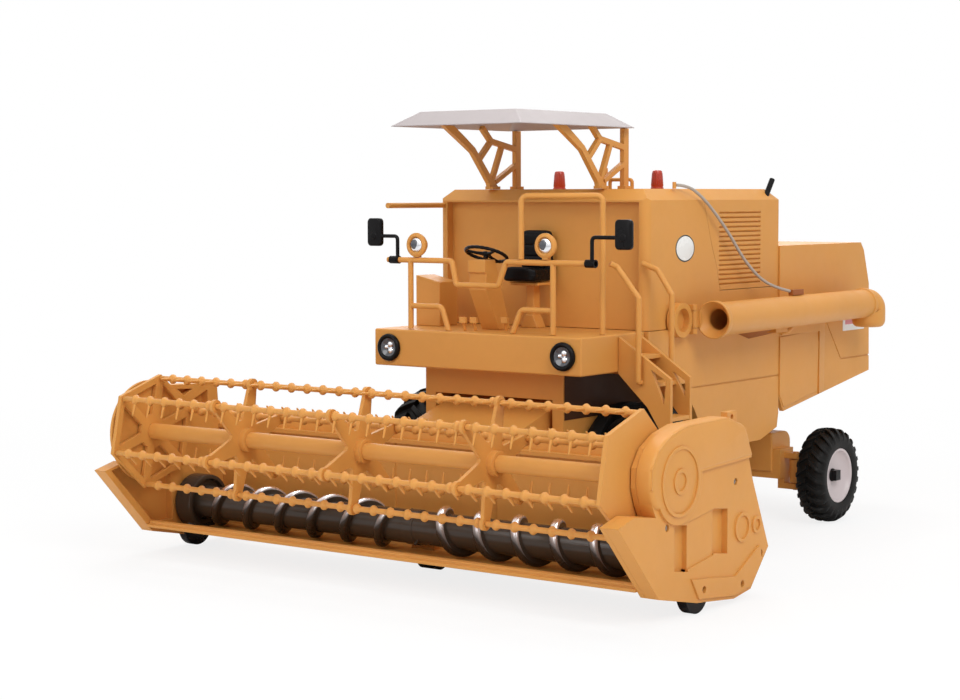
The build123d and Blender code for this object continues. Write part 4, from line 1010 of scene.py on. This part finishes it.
def makeGusset(spec):
    shell, foot, top = newShell(), spec["foot"], spec["top"]
    addRings(shell, [[Vector((foot, y, top)), Vector((foot + out, y, top)), Vector((foot, y, low))]
                     for y, low, out in spec["cuts"]], ink=1)
    addBar(shell, bentRoute(spec["loop"], spec["loopBend"]), spec["loopRadius"], steps=14)
    makePiece("tube_rest_gusset", shell, ["ochre", "umberAndPaintedShadow"], edge=0.3, smooth=35)


# painted shade: thin dark brown sheets on the nose's sides beside the front wheels, standing in for the shade
# there
noseSideSet = {"x": (39.4, 39.75), "y": (-39.2, 44.6), "z": (67.0, 88.4)}


def makeNoseSides(spec):
    shell = newShell()
    for side in hands.values():
        addBlock(shell, *zip([side * x for x in spec["x"]], spec["y"], spec["z"]))
    makePiece("nose_side_painted_shade", shell, ["paintedShadeBrown"], edge=0.12, smooth=35)


# the box casting at each end of the rear axle
axleBoxSet = {"x": (27.0, 46.0), "y": (142.6, 163.0), "z": (24.2, 44.5), "corner": 6.0, "cornerSteps": 8}


def makeAxleBoxes(spec):
    shell, (y0, y1), (z0, z1), corner = newShell(), spec["y"], spec["z"], spec["corner"]
    outline = [(y0, z0), (y1, z0)]
    for i in range(spec["cornerSteps"] + 1):
        angle = radians(90 * i / spec["cornerSteps"])
        outline.append((y1 - corner + corner * cos(angle), z1 - corner + corner * sin(angle)))
    outline.append((y0, z1))
    for side in hands.values():
        addRings(shell, [[Vector((side * x, y, z)) for y, z in outline] for x in spec["x"]])
    makePiece("rear_axle_boxes", shell, ["ochre"], edge=0.8, smooth=35)


makeSideSteps(stepSet)
makeGusset(gussetSet)
makeNoseSides(noseSideSet)
makeAxleBoxes(axleBoxSet)
print("side steps, gusset, nose sides and axle boxes made")


screwSet = {
    "face": 141.8,
    "places": ((-68.7, 74.2), (-65.1, 50.7), (-118.6, 38.4), (-91.2, 9.8), (-60.2, 7.4), (-43.2, 17.8)),
    # (height above the face, radius), over the head and down into its recess
    "head": [(-0.1, 1.3), (0.3, 1.3), (0.6, 0.975), (0.6, 0.546), (0.24, 0.39), (0.18, 0.05)],
}


def makeScrews(spec):
    shell = newShell()
    for y, z in spec["places"]:
        addTurned(shell, spec["head"], (spec["face"], y, z), (1, 0, 0), steps=24)
    makePiece("cover_screw_heads", shell, ["screwSteel"], body="header")


makeScrews(screwSet)
print("screws made")


cordSet = {
    "radius": 0.75,
    "length": 0.0993,      # metres
    "roundSteps": 4, "routeSteps": 12,
    "route": [
        (56.5, 28.3, 173.4), (59.5, 34, 173.2), (62.6, 42, 168), (64, 53, 159.5), (65, 65, 149),
        (66, 76, 137.5), (68.2, 88, 127.8), (71.6, 98.5, 122.8), (74.6, 107.4, 120.9),
    ],
}


def makeCord(spec):
    data = bpy.data.curves.new("pull_cord_line", "CURVE")
    data.dimensions = "3D"
    data.bevel_depth = spec["radius"] / 1000
    data.bevel_resolution = spec["roundSteps"]
    data.resolution_u = spec["routeSteps"]
    data.use_fill_caps = True
    line = data.splines.new("NURBS")
    line.points.add(len(spec["route"]) - 1)
    for point, place in zip(line.points, spec["route"]):
        point.co = (*spot(*place), 1)
    line.order_u = 3
    line.use_endpoint_u = True
    data.materials.append(finish["cordGrey"])
    cord = addObject("pull_cord_line", data)
    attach(cord, "unloader")
    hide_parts("pull_cord")


makeCord(cordSet)
print("cord made")


# the surroundings, in metres
floorSet = {"half": 6.0, "color": (0.90, 0.90, 0.90), "nearWhite": 0.82, "farWhite": 1.0, "fadeFrom": 0.30,
            "fadeTo": 0.75}


# the first shader where share is 0, the second where it is 1
def mixShaders(tree, share, first, second, out):
    pick = node(tree, "MixShader")
    for socket, value in zip(pick.inputs, (share, first, second)):
        tree.links.new(value, socket)
    tree.links.new(pick.outputs[0], out.inputs["Surface"])


def makeFloor(spec):
    half = spec["half"]
    corners = [(-half, -half, 0), (half, -half, 0), (half, half, 0), (-half, half, 0)]
    mesh = bpy.data.meshes.new("floor")
    mesh.from_pydata(corners, [], [(0, 1, 2, 3)])
    floor = addObject("floor", mesh)
    material = bpy.data.materials.new("floorPaper")
    tree, out = emptyTree(material, "OutputMaterial")
    paper = node(tree, "BsdfDiffuse", Color=(*spec["color"], 1))
    white = node(tree, "Emission", Color=(1, 1, 1, 1), Strength=1.0)
    place = node(tree, "TexCoord").outputs["Object"]
    away = mathNode(tree, "VectorMath", "LENGTH", place)      # from the middle of the floor
    share = ramp(tree, away, spec["fadeFrom"], spec["fadeTo"], spec["nearWhite"], spec["farWhite"])
    ray = node(tree, "LightPath").outputs["Is Camera Ray"]
    seen = mathNode(tree, "Math", "MULTIPLY", share, ray)
    mixShaders(tree, seen, paper.outputs[0], white.outputs[0], out)
    mesh.materials.append(material)


lampSets = {
    "keyLight": {"place": (1.1, -0.6, 1.1), "size": (0.7, 0.7), "power": 11},
    "frontLight": {"place": (-0.2, -1.4, 0.9), "size": (0.9, 0.9), "power": 6.5},
    "topLight": {"place": (0.1, 0.3, 1.5), "size": (0.9, 0.9), "power": 6.5},
    "rearLight": {"place": (-0.9, 1.2, 0.9), "size": (1.0, 1.0), "power": 6},
    "sheenLight": {"place": (-0.45, 0.35, 1.3), "size": (0.35, 0.2), "power": 2.5},
}
lampAim = (0, 0, 0.08)


def areaLight(name, spec):
    data = bpy.data.lights.new(name, "AREA")
    data.shape = "RECTANGLE"
    data.size, data.size_y = spec["size"]
    data.energy = spec["power"]
    lamp = addObject(name, data)
    lamp.location = spec["place"]
    lamp.rotation_euler = (Vector(lampAim) - Vector(spec["place"])).to_track_quat("-Z", "Y").to_euler()


worldSet = {"soft": 0.36, "shown": 1.0}      # strength as a light, and as seen or mirrored


def makeWorld(spec):
    world = bpy.data.worlds.new("studio")
    scene.world = world
    tree, out = emptyTree(world, "OutputWorld")
    soft, shown = (node(tree, "Background", Color=(1, 1, 1, 1), Strength=spec[kind])
                   for kind in ("soft", "shown"))
    rays = node(tree, "LightPath").outputs
    either = mathNode(tree, "Math", "MAXIMUM", rays["Is Camera Ray"], rays["Is Glossy Ray"])
    mixShaders(tree, either, soft.outputs[0], shown.outputs[0], out)


makeFloor(floorSet)
for name, spec in lampSets.items():
    areaLight(name, spec)
makeWorld(worldSet)
scene.view_settings.view_transform = "Standard"
print("floor and light set")
